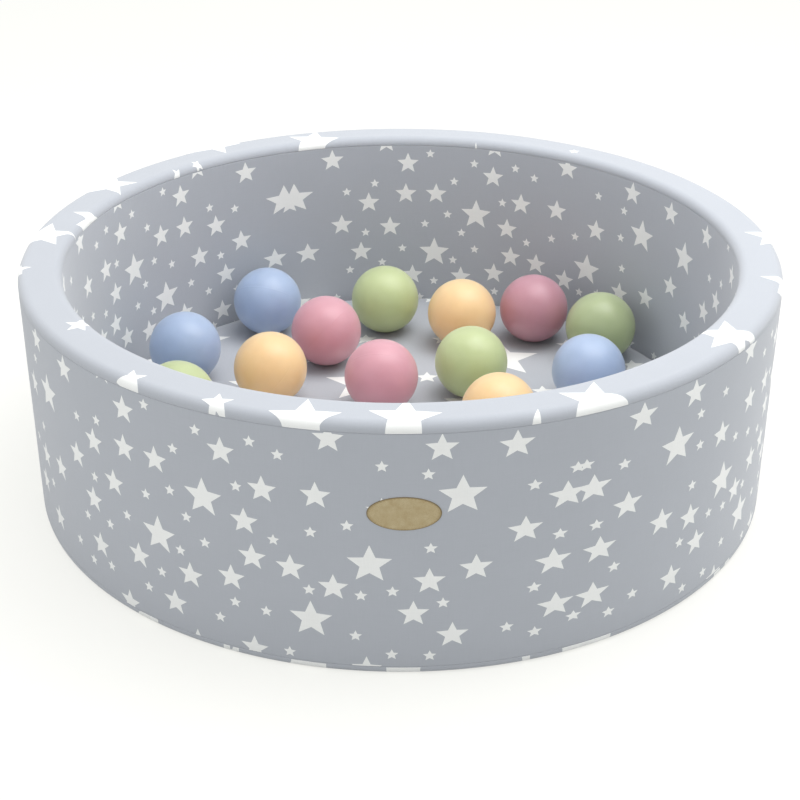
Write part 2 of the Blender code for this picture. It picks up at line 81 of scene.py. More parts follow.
def swung(radius, azimuth, height):
    """A place at a radius and height, turned by the azimuth from the front (-Y) towards the right (+X)."""
    return np.stack(np.broadcast_arrays(radius * np.sin(azimuth), -radius * np.cos(azimuth), height), axis=-1)


def linked(name, data):
    """A new object with its data, put in the scene."""
    piece = bpy.data.objects.new(name, data)
    bpy.context.scene.collection.objects.link(piece)
    return piece


def grid_piece(name, points, along, across, ring_rows=False, ring_columns=False, capped=False):
    """A mesh on a grid of points (rows, columns, xyz). Each face joins four neighbours and its normal is along
    rows x columns. A ringed side also joins its last line to its first. Caps close the first and the last row.
    The UV map is (along, across)."""
    rows, columns = points.shape[:2]
    row = np.arange(rows if ring_rows else rows - 1)
    column = np.arange(columns if ring_columns else columns - 1)
    r, c = (part.ravel() for part in np.meshgrid(row, column, indexing="ij"))
    corner_rows = np.stack([r, r + 1, r + 1, r], axis=1)
    corner_columns = np.stack([c, c, c + 1, c + 1], axis=1)
    faces = (corner_rows % rows) * columns + corner_columns % columns
    uv = np.stack([np.asarray(along)[corner_rows], np.asarray(across)[corner_columns]], axis=-1)
    uv = uv.reshape(-1, 2)
    face_list = faces.tolist()
    if capped:
        first = np.arange(columns)
        last = (rows - 1) * columns + first
        face_list += [first.tolist(), last[::-1].tolist()]
        uv = np.concatenate([uv, np.zeros((2 * columns, 2))])
    mesh = bpy.data.meshes.new(name)
    mesh.from_pydata(points.reshape(-1, 3), [], face_list)
    mesh.uv_layers.new(name="cloth").data.foreach_set("uv", uv.astype(np.float32).ravel())
    mesh.shade_smooth()
    mesh.set_sharp_from_angle(angle=np.radians(50))
    return linked(name, mesh)


def colour(red, green, blue):
    """A colour given as seen, 0 to 255, in the linear scale that a shader takes."""
    share = np.array([red, green, blue]) / 255
    return (*np.where(share <= 0.04045, share / 12.92, ((share + 0.055) / 1.055) ** 2.4).tolist(), 1.0)


class Nodes:
    """Short hand for the nodes of one tree: add a node with its settings and inputs, and link its sockets."""

    def __init__(self, tree):
        self.tree = tree

    def add(self, kind, settings=None, **inputs):
        node = self.tree.nodes.new(kind)
        for key, value in (settings or {}).items():
            setattr(node, key, value)
        for key, value in inputs.items():
            numbered = key[0] == "i" and key[1:].isdigit()
            socket = node.inputs[int(key[1:]) if numbered else key.replace("_", " ")]
            if isinstance(value, bpy.types.NodeSocket):
                self.tree.links.new(value, socket)
            else:
                socket.default_value = value
        return node

    def math(self, operation, one, two=0.0, three=0.0):
        return self.add("ShaderNodeMath", {"operation": operation}, i0=one, i1=two, i2=three).outputs[0]

    def place(self):
        """The place in the object's own coordinates."""
        return self.add("ShaderNodeTexCoord").outputs["Object"]

    def cloth(self):
        """The piece's UV map: the place on the flat cloth."""
        return self.add("ShaderNodeUVMap", {"uv_map": "cloth"}).outputs[0]

    def noise(self, place, scale, detail=2.0, roughness=0.5):
        inputs = {"Vector": place, "Scale": scale, "Detail": detail, "Roughness": roughness}
        return self.add("ShaderNodeTexNoise", **inputs).outputs["Fac"]

    def bump(self, height, distance, strength=0.5):
        return self.add("ShaderNodeBump", Strength=strength, Distance=distance, Height=height).outputs["Normal"]

    def ramp(self, value, *stops):
        """Colours or greys at places from 0 to 1."""
        node = self.add("ShaderNodeValToRGB", Fac=value)
        elements = node.color_ramp.elements
        while len(elements) < len(stops):
            elements.new(0.5)
        for element, (place, shade) in zip(elements, stops):
            element.position = place
            element.color = shade if isinstance(shade, tuple) else (shade, shade, shade, 1.0)
        return node.outputs[0]

    def mix(self, share, one, two, blend_type="MIX"):
        node = self.add("ShaderNodeMix", {"data_type": "RGBA", "blend_type": blend_type}, i0=share)
        for socket, value in ((node.inputs[6], one), (node.inputs[7], two)):
            if isinstance(value, bpy.types.NodeSocket):
                self.tree.links.new(value, socket)
            else:
                socket.default_value = value
        return node.outputs[2]


def new_material(name, **shader_inputs):
    """A material with plain numbers on the shader's own sockets, and its tree's short hand."""
    material = bpy.data.materials.new(name)
    material.use_nodes = True
    nodes = Nodes(material.node_tree)
    shader = material.node_tree.nodes["Principled BSDF"]
    for key, value in shader_inputs.items():
        shader.inputs[key.replace("_", " ")].default_value = value
    return material, nodes, shader


def drive(nodes, shader, **sockets):
    """Link values that change over the surface to the shader."""
    for key, value in sockets.items():
        nodes.tree.links.new(value, shader.inputs[key.replace("_", " ")])


foam_skin, nodes, shader = new_material("cream_foam", Roughness=0.95)
place = nodes.place()
pores = nodes.add("ShaderNodeTexVoronoi", {"feature": "F1"}, Vector=place, Scale=620.0).outputs["Distance"]
clouds = nodes.noise(place, 26.0, 3.0)
cream = nodes.mix(nodes.ramp(clouds, (0.35, 0.0), (0.65, 1.0)), colour(236, 229, 200), colour(242, 236, 212))
# Painted shade: the cream is darker in the pores, as shade in the pits.
cream_with_pore_shade = nodes.mix(nodes.ramp(pores, (0.15, 0.5), (0.55, 0.0)), cream, colour(196, 186, 152))
rise = nodes.bump(pores, 0.4 * MM, 0.6)
drive(nodes, shader, Base_Color=cream_with_pore_shade, Normal=rise)


def trough_edge(inset, height):
    """How far the trough's sloping side is from the zip's line, at a height and at an inset into the foam."""
    return TROUGH_HALF + inset * np.hypot(1, TROUGH_SLOPE) - height * TROUGH_SLOPE


def foam_outline():
    """The foam's section as (radius, height): the trough, then up the outer side, over the rim and back."""
    inset, reach = FOAM_INSET, RIM_RADIUS - FOAM_INSET
    low, high = trough_edge(inset, inset), trough_edge(inset, TROUGH_ROOF)
    turn = BASE_RADIUS - inset
    return np.concatenate(
        [
            [(ZIP_CIRCLE - high, TROUGH_ROOF), (ZIP_CIRCLE + high, TROUGH_ROOF), (ZIP_CIRCLE + low, inset)],
            corner(RING_OUTSIDE - BASE_RADIUS, BASE_RADIUS, turn, -90, 0, 6),
            corner(RING_OUTSIDE - RIM_RADIUS, RING_HEIGHT - RIM_RADIUS, reach, 0, 90, 8),
            corner(RING_INSIDE + RIM_RADIUS, RING_HEIGHT - RIM_RADIUS, reach, 90, 180, 8),
            corner(RING_INSIDE + BASE_RADIUS, BASE_RADIUS, turn, 180, 270, 6),
            [(ZIP_CIRCLE - low, inset)],
        ]
    )


outline = foam_outline()
run = np.concatenate([[0], np.cumsum(np.linalg.norm(np.diff(outline, axis=0, append=outline[:1]), axis=1))])
for name, middle in (("foam_strip_front", 0.0), ("foam_strip_rear", np.pi)):
    half = np.pi / 2 - HALF_BUTT_JOINT / ZIP_CIRCLE
    azimuths = middle + np.linspace(-half, half, 97)
    points = swung(outline[None, :, 0], azimuths[:, None], outline[None, :, 1])
    strip = grid_piece(name, points, azimuths * RING_OUTSIDE, run, ring_columns=True, capped=True)
    strip.data.materials.append(foam_skin)
    node = "wall_" + name.replace("strip_", "")
    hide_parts(node)
    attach(strip, "ring")


# Ring cover
# Grey cotton, sewn of five panels: outer wall, inner wall, a band over the rim and two base panels with zip lips.
# The allowances are turned in, so each seam shows as a fine closed crease that draws the cloth in a little.

RIM_SEAM = 283.5 * MM
BASE_SEAM = 9.0 * MM
HALF_SEAM = 0.05 * MM
LIP_LEVEL = 5.8 * MM
LIP_EDGE = 6.55 * MM
TROUGH_HEAD = 9.95 * MM
COTTON_GREY = colour(177, 181, 188)


def ring_swell(azimuth, run, _):
    """How far the cloth stands out from its true line: three slow waves, each a whole number of times round."""
    waves = np.sin(9 * azimuth + run / (31 * MM)) + 0.8 * np.sin(14 * azimuth - run / (23 * MM) + 1.3)
    return 0.09 * MM * (waves + 0.6 * np.sin(23 * azimuth + run / (17 * MM) + 2.1))


def seam_draw(distance):
    """How far a seam draws the cloth in: a crease, one Gaussian, and a wide shallow pull, one exponential."""
    crease = 0.3 * MM * np.exp(-((distance / (0.35 * MM)) ** 2))
    return crease + 0.12 * MM * np.exp(-distance / (4 * MM))


class Panel:
    """A cloth panel's section as a line of (radius, height), measured along its run, with its outward normal."""

    def __init__(self, outline, seams=(True, True), swell=None):
        self.line = densified(np.asarray(outline), 0.5 * MM)
        self.runs = np.concatenate([[0], np.cumsum(np.linalg.norm(np.diff(self.line, axis=0), axis=1))])
        self.length = self.runs[-1]
        tangent = np.gradient(self.line, self.runs, axis=0)
        tangent /= np.linalg.norm(tangent, axis=1)[:, None]
        self.normal = np.stack([tangent[:, 1], -tangent[:, 0]], axis=1)
        self.seams = seams
        self.swell = swell

    def from_seam(self, run):
        """How far the nearest seam is."""
        far = np.full_like(run, 1.0)
        start, end = self.seams
        return np.minimum(run if start else far, self.length - run if end else far)

    def place(self, azimuth, run, lift=0.0):
        """The place on the cloth at an azimuth and a run: the section's point, moved along its normal."""
        across, up, out_across, out_up = (
            np.interp(run, self.runs, column) for column in (*self.line.T, *self.normal.T)
        )
        distance = self.from_seam(run)
        fade = 1 - np.exp(-distance / (12 * MM))
        swell = self.swell(azimuth, run, across) * fade if self.swell else 0.0
        offset = lift + swell - seam_draw(distance)
        return swung(across + out_across * offset, azimuth, up + out_up * offset)

    def stations(self, step):
        """Where the mesh has its lines: close together by both ends, then evenly spaced."""
        close = np.array([0.0, 0.15, 0.3, 0.45, 0.7, 1.2, 2.0, 3.2, 5.0]) * MM
        count = int(np.ceil((self.length - 2 * close[-1]) / step))
        even = np.linspace(close[-1], self.length - close[-1], count + 1)[1:-1]
        return np.concatenate([close, even, self.length - close[::-1]])


def thicken(piece, thickness):
    """Give an open surface its cloth's thickness, inwards from its face."""
    solid = piece.modifiers.new("thickness", "SOLIDIFY")
    solid.thickness = thickness
    solid.offset = -1.0


def new_group(name, inputs, outputs):
    """A shader node group with named inputs and outputs, and its tree's short hand."""
    tree = bpy.data.node_groups.new(name, "ShaderNodeTree")
    for direction, sockets in (("INPUT", inputs), ("OUTPUT", outputs)):
        for socket, kind in sockets.items():
            tree.interface.new_socket(name=socket, in_out=direction, socket_type=kind)
    nodes = Nodes(tree)
    return tree, nodes, tree.nodes.new("NodeGroupInput").outputs, tree.nodes.new("NodeGroupOutput").inputs


VALUE, VECTOR = "NodeSocketFloat", "NodeSocketVector"
woven, nodes, given, result = new_group(
    "plain_weave", {"Cloth": VECTOR, "Panel Width": VALUE, "Seams": VALUE}, {"Shade": VALUE, "Height": VALUE}
)
split = nodes.add("ShaderNodeSeparateXYZ", Vector=given["Cloth"])
turns = [nodes.math("MULTIPLY", split.outputs[k], np.pi / (0.55 * MM)) for k in (0, 1)]
warp, weft = (nodes.math("SINE", turn) for turn in turns)
over = nodes.math("MULTIPLY_ADD", nodes.math("MULTIPLY", warp, weft), 2.0, 0.5)
over = nodes.add("ShaderNodeClamp", Value=over).outputs[0]
under = nodes.math("SUBTRACT", 1.0, over)
threads = nodes.math(
    "ADD",
    nodes.math("MULTIPLY", nodes.math("ABSOLUTE", warp), over),
    nodes.math("MULTIPLY", nodes.math("ABSOLUTE", weft), under),
)
slubs = []
for stretch in ((900.0, 40.0, 1.0), (40.0, 900.0, 1.0)):
    drawn = nodes.add("ShaderNodeVectorMath", {"operation": "MULTIPLY"}, i0=given["Cloth"], i1=stretch)
    slubs.append(nodes.noise(drawn.outputs[0], 1.0))
mottle = nodes.noise(given["Cloth"], 14.0, 3.0)
to_far_seam = nodes.math("SUBTRACT", given["Panel Width"], split.outputs[1])
from_seam = nodes.math("MAXIMUM", nodes.math("MINIMUM", split.outputs[1], to_far_seam), 0.0)
# The first mask sets the puckers by the seams; the second sets where the painted shade of the seams' creases
# falls.
near_seam, crease_shade_mask = (
    nodes.math("MULTIPLY", nodes.math("EXPONENT", nodes.math("MULTIPLY", from_seam, -1 / fade)), given["Seams"])
    for fade in (4.0 * MM, 0.8 * MM)
)
stitch_noise = nodes.noise(given["Cloth"], 120.0)
wander = nodes.math("MULTIPLY", stitch_noise, 5.0)
stitches = nodes.math("MULTIPLY_ADD", split.outputs[0], 2 * np.pi / (7.0 * MM), wander)
puckers = nodes.math("MULTIPLY", nodes.math("SINE", stitches), near_seam)
shade = nodes.math("MULTIPLY_ADD", nodes.math("ADD", *slubs), 0.05, 0.93)
shade = nodes.math("MULTIPLY_ADD", mottle, 0.04, shade)
shade = nodes.math("MULTIPLY_ADD", threads, 0.03, nodes.math("SUBTRACT", shade, 0.02))
# Painted shade in the seams' creases: the colour is 4% darker within about a millimetre of a seam.
shade = nodes.math("MULTIPLY_ADD", crease_shade_mask, -0.04, shade)
height = nodes.math("MULTIPLY_ADD", nodes.math("ADD", *slubs), 0.5, nodes.math("MULTIPLY", threads, 0.6))
height = nodes.math("MULTIPLY_ADD", puckers, 1.1, height)
nodes.tree.links.new(shade, result["Shade"])
nodes.tree.links.new(height, result["Height"])


def cotton(name, tint, panel_width=None, relief=0.12 * MM):
    """Woven cotton in one tint: the weave's shade darkens it a little and its height raises the threads. With a
    panel width, it puckers by the seams along both sides, and its colour is darker in their creases as painted
    shade."""
    material, nodes, shader = new_material(
        name, Roughness=0.9, Sheen_Weight=0.4, Sheen_Roughness=0.5, Specular_IOR_Level=0.25
    )
    cloth = nodes.cloth()
    weave = nodes.add("ShaderNodeGroup", {"node_tree": woven}, Cloth=cloth)
    weave.inputs["Panel Width"].default_value = panel_width or 0.0
    weave.inputs["Seams"].default_value = 1.0 if panel_width else 0.0
    dyed = nodes.add("ShaderNodeVectorMath", {"operation": "SCALE"}, i0=tint[:3])
    nodes.tree.links.new(weave.outputs["Shade"], dyed.inputs["Scale"])
    rise = nodes.bump(weave.outputs["Height"], relief)
    drive(nodes, shader, Base_Color=dyed.outputs[0], Normal=rise)
    return material


def flat_run(start, end):
    """A straight piece of a section."""
    return np.array([start, end])


def base_section(edge, inward):
    """A base panel's section: from its seam round the lower edge, over the floor and up the trough to its lip."""
    round_off = corner(0, BASE_RADIUS, BASE_RADIUS, 0, -90, 12)
    lower_edge = np.stack([edge + inward * (BASE_RADIUS - round_off[:, 0]), round_off[:, 1]], axis=1)
    to_zip = ZIP_CIRCLE - inward * np.array([TROUGH_HALF, TROUGH_HEAD, LIP_EDGE])
    trough = np.stack([to_zip, [0.0, LIP_LEVEL, LIP_LEVEL]], axis=1)
    return np.concatenate([[(edge, BASE_SEAM - HALF_SEAM)], lower_edge, trough])


rim_line = np.concatenate(
    [
        [(RING_OUTSIDE, RIM_SEAM + HALF_SEAM)],
        corner(RING_OUTSIDE - RIM_RADIUS, RING_HEIGHT - RIM_RADIUS, RIM_RADIUS, 0, 90, 24),
        corner(RING_INSIDE + RIM_RADIUS, RING_HEIGHT - RIM_RADIUS, RIM_RADIUS, 90, 180, 24),
        [(RING_INSIDE, RIM_SEAM + HALF_SEAM)],
    ]
)
wall_low, wall_high = BASE_SEAM + HALF_SEAM, RIM_SEAM - HALF_SEAM
outer_panel = Panel(flat_run((RING_OUTSIDE, wall_low), (RING_OUTSIDE, wall_high)), swell=ring_swell)
rim_panel = Panel(rim_line, swell=ring_swell)
inner_panel = Panel(flat_run((RING_INSIDE, wall_high), (RING_INSIDE, wall_low)), swell=ring_swell)
base_outer_panel = Panel(base_section(RING_OUTSIDE, -1)[::-1], seams=(False, True))
base_inner_panel = Panel(base_section(RING_INSIDE, 1), seams=(True, False))

ROUND = 360
WALL_STEP, RIM_STEP, BASE_STEP = 14 * MM, 2 * MM, 1.5 * MM
BASE_MIDDLE = 13 * MM
round_azimuths = np.arange(ROUND) * 2 * np.pi / ROUND
ring_panels = (
    ("outer_wall_cloth", outer_panel, RING_OUTSIDE, WALL_STEP, "cover_outer"),
    ("rim_band_cloth", rim_panel, ZIP_CIRCLE, RIM_STEP, "cover_rim"),
    ("inner_wall_cloth", inner_panel, RING_INSIDE, WALL_STEP, "cover_inner"),
    ("base_cloth_outer", base_outer_panel, RING_OUTSIDE - BASE_MIDDLE, BASE_STEP, "cover_base_outer"),
    ("base_cloth_inner", base_inner_panel, RING_INSIDE + BASE_MIDDLE, BASE_STEP, "cover_base_inner"),
)
for name, panel, middle_radius, step, node in ring_panels:
    runs = panel.stations(step)
    points = panel.place(round_azimuths[:, None], runs[None, :])
    round_length = 2 * np.pi * middle_radius
    along = np.linspace(0, round_length, ROUND + 1)
    cloth = grid_piece(name, points, along, runs, ring_rows=True)
    thicken(cloth, CLOTH)
    cloth.data.materials.append(cotton(name, COTTON_GREY, panel.length))
    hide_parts(node)
    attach(cloth, "ring")


# Ring print
# White five-point stars, screen-printed on the cotton before it was cut, so the seams cut them. The walls' stars
# have three sizes and are mirrored about one line; the rim and base carry larger ones as well, all one way up.

SEAM_MARGIN = 0.55 * MM
PRINT_TOP = 0.12 * MM
PRINT_UNDER = -0.1 * MM
LARGE, MEDIUM, SMALL = 22.9 * MM, 15.9 * MM, 6.7 * MM
NOTCH, SMALL_NOTCH = 0.44, 0.47
OUTER_FOLD = {"mirror": 184.9 * MM, "period": 1500.0 * MM, "widened": 0.47, "widened_reach": 85 * MM}
INNER_FOLD = {"mirror": -163.4 * MM, "period": 1208.8 * MM, "widened": 0.35, "widened_reach": 45 * MM}
INNER_LEFT_OUT = (441 * MM, 645 * MM, 118 * MM)
RIM_LARGE, RIM_SMALL, RIM_SMALLEST = 37.3 * MM, 16.8 * MM, 8.0 * MM
RIM_TURN = np.radians(-3.5)
PRINT_WHITE = colour(240, 241, 239)

wall_large = [(-461, 216), (-267, 122), (-206, 186), (-92, 63), (-31, 135), (61, 214)]
wall_medium = [
    (-518, 76), (-518, 203), (-499, 119), (-484, 271), (-472, 50), (-446, 129), (-408, 267), (-398, 168),
    (-371, 124), (-366, 68), (-360, 200), (-334, 293), (-330, 162), (-321, 14), (-308, 212), (-304, 258),
    (-299, 84), (-264, 213), (-251, 43), (-228, 85), (-224, 2), (-182, 245), (-178, 97), (-160, 169),
    (-155, 14), (-153, 128), (-139, 210), (-112, 123), (-84, 211), (-70, 276), (-68, 105), (-35, 6),
    (-18.4, 197.2), (13, 76), (29, 115), (40, 268), (53, 48), (76, 128), (114, 265), (126, 166), (158, 122),
    (163, 67), (170, 198),
]  # fmt: skip
wall_small = [
    (-534, 126), (-498, 242), (-497, 157), (-482, 91), (-414, 51), (-390, 218), (-388, 96), (-385, 39),
    (-365, 154), (-351, 228), (-349, 48), (-344, 104), (-313, 128), (-288, 48), (-281, 166), (-273, 273),
    (-267, 75), (-247, 182), (-239, 233), (-239, 112), (-228, 156), (-210, 262), (-207, 131), (-194, 43),
    (-175, 67), (-167, 208), (-150, 262), (-140, 64), (-129, 153), (-121, 252), (-116, 18), (-93, 99),
    (-90, 168), (-53, 179), (-46, 47), (-40, 97), (-18, 248), (-9, 25), (-8, 103), (23.1, 200.3),
    (27, 239), (30, 23), (30, 154), (43, 88), (110, 50), (134, 216), (138, 94), (141, 38),
    (164, 153), (180, 227), (184.9, 47),
]  # fmt: skip
inner_large = [(50, 121), (111, 184), (225, 63), (288, 134), (383, 213), (-155.7, 214)]
inner_medium = [
    (-155, 50), (-138, 127), (-98, 265), (-86, 166), (-58, 122), (-49, 68), (-46, 198),
    (-20, 288.5), (-15, 160), (8, 211), (11, 257), (18, 84), (52, 212), (66, 43), (90, 85),
    (135, 244), (136.5, 288.5), (140, 96), (158, 168), (165, 126), (178, 209), (205, 122), (234, 210),
    (248, 275), (300, 196), (330, 76), (360, 267), (370, 48), (399, 127), (437.6, 263.5),
    (-4, 14), (93, 2), (162, 14), (251.7, 107.8), (282, 6), (348.2, 116.5),
]  # fmt: skip
inner_small = [
    (-96, 51), (-78, 216), (-75, 94), (-68, 39), (-51, 152), (-37, 227), (-32, 48), (3, 126),
    (29, 48), (36, 165), (43, 272), (50, 75), (69, 181), (78, 232), (78, 110), (90, 154),
    (107, 261), (110, 130), (123, 43), (142, 67), (150, 207), (168, 261), (177, 64), (189, 152),
    (197, 251), (228, 166), (266, 178), (272, 47), (301, 247), (344, 198), (347, 238),
    (350, 154), (427, 50), (-27, 104), (201, 18), (224, 99), (277.8, 96.1), (308, 25), (309, 103),
    (347, 23), (360, 88),
]  # fmt: skip
inner_right = (
    ([(475.4, 214.1)], LARGE),
    ([(449.2, 163.2), (489.6, 129.0), (528.1, 264.6), (539.9, 165.6), (577.3, 196.3), (636.6, 256.0)], MEDIUM),
    ([(548.1, 215.8), (590.6, 225.8), (604.6, 281.8)], SMALL),
)
rim_large = [
    (-123.8, 390.2), (-262.0, 366.0), (-383.6, 205.5), (-377.5, 93.0), (-433.0, 30.0), (-92.4, -436.5),
    (4.0, -436.9), (190.0, -400.0), (347.0, -255.6), (455.0, 25.0), (446.8, -111.5), (130.0, -457.5),
]  # fmt: skip
rim_small = [(-270.3, -353.5), (-178.5, -404.9), (-344.1, -228.7), (-444.2, -75.2)]
rim_smallest = [(106.9, 380.1), (242.0, 340.5), (-300.5, 263.0), (-278.2, 292.5)]


def star_template(cuts, notch):
    """A flat star with one tip up, its tips at 1 and its notches at a share of that: ten triangles from the
    middle to a tip and the notch beside it, each cut into cuts x cuts little ones by barycentric steps. Gives its
    points and its triangles."""
    around = np.pi / 2 + np.arange(11) * np.pi / 5
    reach = np.where(np.arange(11) % 2 == 0, 1.0, notch)
    tips = np.stack([reach * np.cos(around), reach * np.sin(around)], axis=1)
    i, j = (part.ravel() for part in np.meshgrid(np.arange(cuts + 1), np.arange(cuts + 1), indexing="ij"))
    inside = i + j <= cuts
    i, j = i[inside], j[inside]
    index = np.full((cuts + 2, cuts + 2), -1)
    index[i, j] = np.arange(len(i))
    upright = i + j < cuts
    a, b = i[upright], j[upright]
    one = np.stack([index[a, b], index[a + 1, b], index[a, b + 1]], axis=1)
    turned = i + j < cuts - 1
    a, b = i[turned], j[turned]
    two = np.stack([index[a + 1, b], index[a + 1, b + 1], index[a, b + 1]], axis=1)
    triangles = np.concatenate([one, two])
    points = (i[None, :, None] * tips[:-1, None] + j[None, :, None] * tips[1:, None]) / cuts
    triangles = triangles[None] + (np.arange(10) * len(i))[:, None, None]
    points, welded = np.unique(np.round(points.reshape(-1, 2), 7), axis=0, return_inverse=True)
    return points, welded.ravel()[triangles.reshape(-1, 3)]


def laid_stars(stars, cuts, notch=NOTCH):
    """Stars as one flat mesh. Stars is an array of (across, up, size, width share, turn): each is the template,
    sized, widened, turned and moved."""
    points, triangles = star_template(cuts, notch)
    across, up, size, width, turn = np.asarray(stars, float).T[:, :, None]
    x = points[None, :, 0] * size * width
    y = points[None, :, 1] * size
    turned_x, turned_y = x * np.cos(turn) - y * np.sin(turn), x * np.sin(turn) + y * np.cos(turn)
    flat = np.stack([across + turned_x, up + turned_y], axis=-1)
    shifts = np.arange(len(stars)) * len(points)
    return flat.reshape(-1, 2), (triangles[None] + shifts[:, None, None]).reshape(-1, 3)


def joined_flats(*flats):
    """Several flat meshes as one."""
    shifts = np.concatenate([[0], np.cumsum([len(points) for points, _ in flats])])[:-1]
    points = np.concatenate([points for points, _ in flats])
    return points, np.concatenate([triangles + shift for (_, triangles), shift in zip(flats, shifts)])


def followed(flat, laid, tolerance=0.03 * MM, passes=7):
    """The flat mesh with more points where it has to bend. In each pass every edge whose laid middle is off the
    middle of its laid ends by more than the tolerance gets a point there, and each triangle is cut to two, three
    or four by how many of its edges have one."""
    points, triangles = flat
    for _ in range(passes):
        sides = np.concatenate([triangles[:, [1, 2]], triangles[:, [2, 0]], triangles[:, [0, 1]]])
        pairs, which = np.unique(np.sort(sides, axis=1), axis=0, return_inverse=True)
        middles = points[pairs].mean(axis=1)
        split = np.linalg.norm(laid(middles) - laid(points)[pairs].mean(axis=1), axis=1) > tolerance
        if not split.any():
            break
        added = np.full(len(pairs), -1)
        added[split] = len(points) + np.arange(split.sum())
        points = np.concatenate([points, middles[split]])
        facing = added[which.reshape(3, -1).T]
        count = (facing >= 0).sum(axis=1)
        parts = [triangles[count == 0]]
        for k in range(3):
            a, b, c = np.roll(triangles, -k, axis=1).T
            on_bc, on_ca, on_ab = np.roll(facing, -k, axis=1).T
            one, two = (count == 1) & (on_bc >= 0), (count == 2) & (on_bc < 0)
            for chosen, cuts in (
                (one, ((a, b, on_bc), (a, on_bc, c))),
                (two, ((a, on_ab, on_ca), (on_ab, b, c), (on_ab, c, on_ca))),
            ):
                parts += [np.stack(cut, axis=1)[chosen] for cut in cuts]
        three = count == 3
        a, b, c = triangles[three].T
        on_bc, on_ca, on_ab = facing[three].T
        for cut in ((a, on_ab, on_ca), (on_ab, b, on_bc), (on_ca, on_bc, c), (on_bc, on_ca, on_ab)):
            parts.append(np.stack(cut, axis=1))
        triangles = np.concatenate(parts)
    return points, triangles


def print_piece(name, flat, to_run, place, flipped=False):
    """A closed film of ink. To_run gives each flat point's azimuth and run with the seams' limits applied, and
    triangles left without area there, or on the cloth, are dropped. Place puts points on the cloth at a lift.
    The film is a face at the top lift, the same face turned over at the under lift, and a skirt by open edges."""
    points, triangles = followed(flat, lambda points: place(*to_run(points).T))
    spot = to_run(points)
    kept = np.full(len(triangles), True)
    for places in (place(*spot.T), np.insert(spot * (RING_OUTSIDE, 1.0), 2, 0.0, axis=1)):
        one, two, three = places[triangles].transpose(1, 0, 2)
        kept &= np.linalg.norm(np.cross(two - one, three - one), axis=1) > 0.002 * MM**2
    triangles = triangles[kept]
    if flipped:
        triangles = triangles[:, ::-1]
    edges = np.concatenate([triangles[:, [0, 1]], triangles[:, [1, 2]], triangles[:, [2, 0]]])
    _, first, count = np.unique(np.sort(edges, axis=1), axis=0, return_index=True, return_counts=True)
    rim = edges[first[count == 1]]
    used, renumbered = np.unique(triangles, return_inverse=True)
    new_index = np.zeros(len(points), int)
    new_index[used] = np.arange(len(used))
    triangles, rim = renumbered.reshape(-1, 3), new_index[rim]
    top = place(spot[used, 0], spot[used, 1], PRINT_TOP)
    under = place(spot[used, 0], spot[used, 1], PRINT_UNDER)
    count = len(used)
    skirt = np.stack([rim[:, 1], rim[:, 0], rim[:, 0] + count, rim[:, 1] + count], axis=1)
    faces = [*triangles.tolist(), *(triangles[:, ::-1] + count).tolist(), *skirt.tolist()]
    mesh = bpy.data.meshes.new(name)
    mesh.from_pydata(np.concatenate([top, under]), [], faces)
    corner_points = np.concatenate([triangles.ravel(), triangles[:, ::-1].ravel(), skirt.ravel() % count])
    uv = points[used][corner_points]
    mesh.uv_layers.new(name="cloth").data.foreach_set("uv", uv.astype(np.float32).ravel())
    mesh.shade_smooth()
    mesh.set_sharp_from_angle(angle=np.radians(40))
    return linked(name, mesh)


def sized(stars, size, turn=0.0):
    """Rows of (along, up, size, width share, turn) from places in millimetres."""
    return np.array([(x * MM, y * MM, size, 1.0, turn) for x, y in stars])


def repeated(rows, half_round, mirror, period, widened, widened_reach, left_out=None):
    """The rows with their mirror images, repeated by the period both ways round as far as half the wall's round.
    Near the mirror line the print is drawn wider, by an exponential of the distance. Left out are the stars
    between a start and an end along the cloth that are over a height."""
    copies = []
    for repeat in (-2, -1, 0, 1, 2):
        for sign in (1, -1):
            copy = rows.copy()
            copy[:, 0] = mirror + sign * (copy[:, 0] - mirror) + repeat * period
            copies.append(copy)
    rows = np.unique(np.concatenate(copies), axis=0)
    rows = rows[np.abs(rows[:, 0]) < half_round]
    if left_out:
        start, end, low = left_out
        rows = rows[(rows[:, 0] < start) | (rows[:, 0] > end) | (rows[:, 1] < low)]
    from_mirror = np.abs(rows[:, 0] - mirror)
    rows[:, 3] = 1 + widened * np.exp(-from_mirror / widened_reach)
    return rows


def wall_flat(tables, **folding):
    """A wall's stars of all sizes, repeated where their folding is given. The smallest have shallower notches."""
    flats = []
    for stars, size in tables:
        rows = sized(stars, size)
        if folding:
            rows = repeated(rows, **folding)
        flats.append(laid_stars(rows, 1, SMALL_NOTCH if size == SMALL else NOTCH))
    return joined_flats(*flats)


print_ink = cotton("white_print", PRINT_WHITE, relief=0.06 * MM)


def place_print(name, flat, to_run, place, body, flipped=False):
    """Print a flat mesh on a cloth and attach it to a body."""
    piece = print_piece(name, flat, to_run, place, flipped)
    piece.data.materials.append(print_ink)
    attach(piece, body)


def outer_wall_spot(points):
    """Along the cloth becomes the azimuth from the front, up becomes the run above the base seam."""
    run = np.clip(points[:, 1], wall_low + SEAM_MARGIN, wall_high - SEAM_MARGIN) - wall_low
    return np.stack([points[:, 0] / RING_OUTSIDE, run], axis=1)


def inner_wall_spot(points):
    """Along the cloth is measured from the rear towards the right, and the run goes down from the rim seam."""
    run = wall_high - np.clip(points[:, 1], wall_low + SEAM_MARGIN, wall_high - SEAM_MARGIN)
    return np.stack([np.pi - points[:, 0] / RING_INSIDE, run], axis=1)


tables = ((wall_large, LARGE), (wall_medium, MEDIUM), (wall_small, SMALL))
flat = wall_flat(tables, half_round=np.pi * RING_OUTSIDE, **OUTER_FOLD)
place_print("outer_wall_stars", flat, outer_wall_spot, outer_panel.place, "ring")

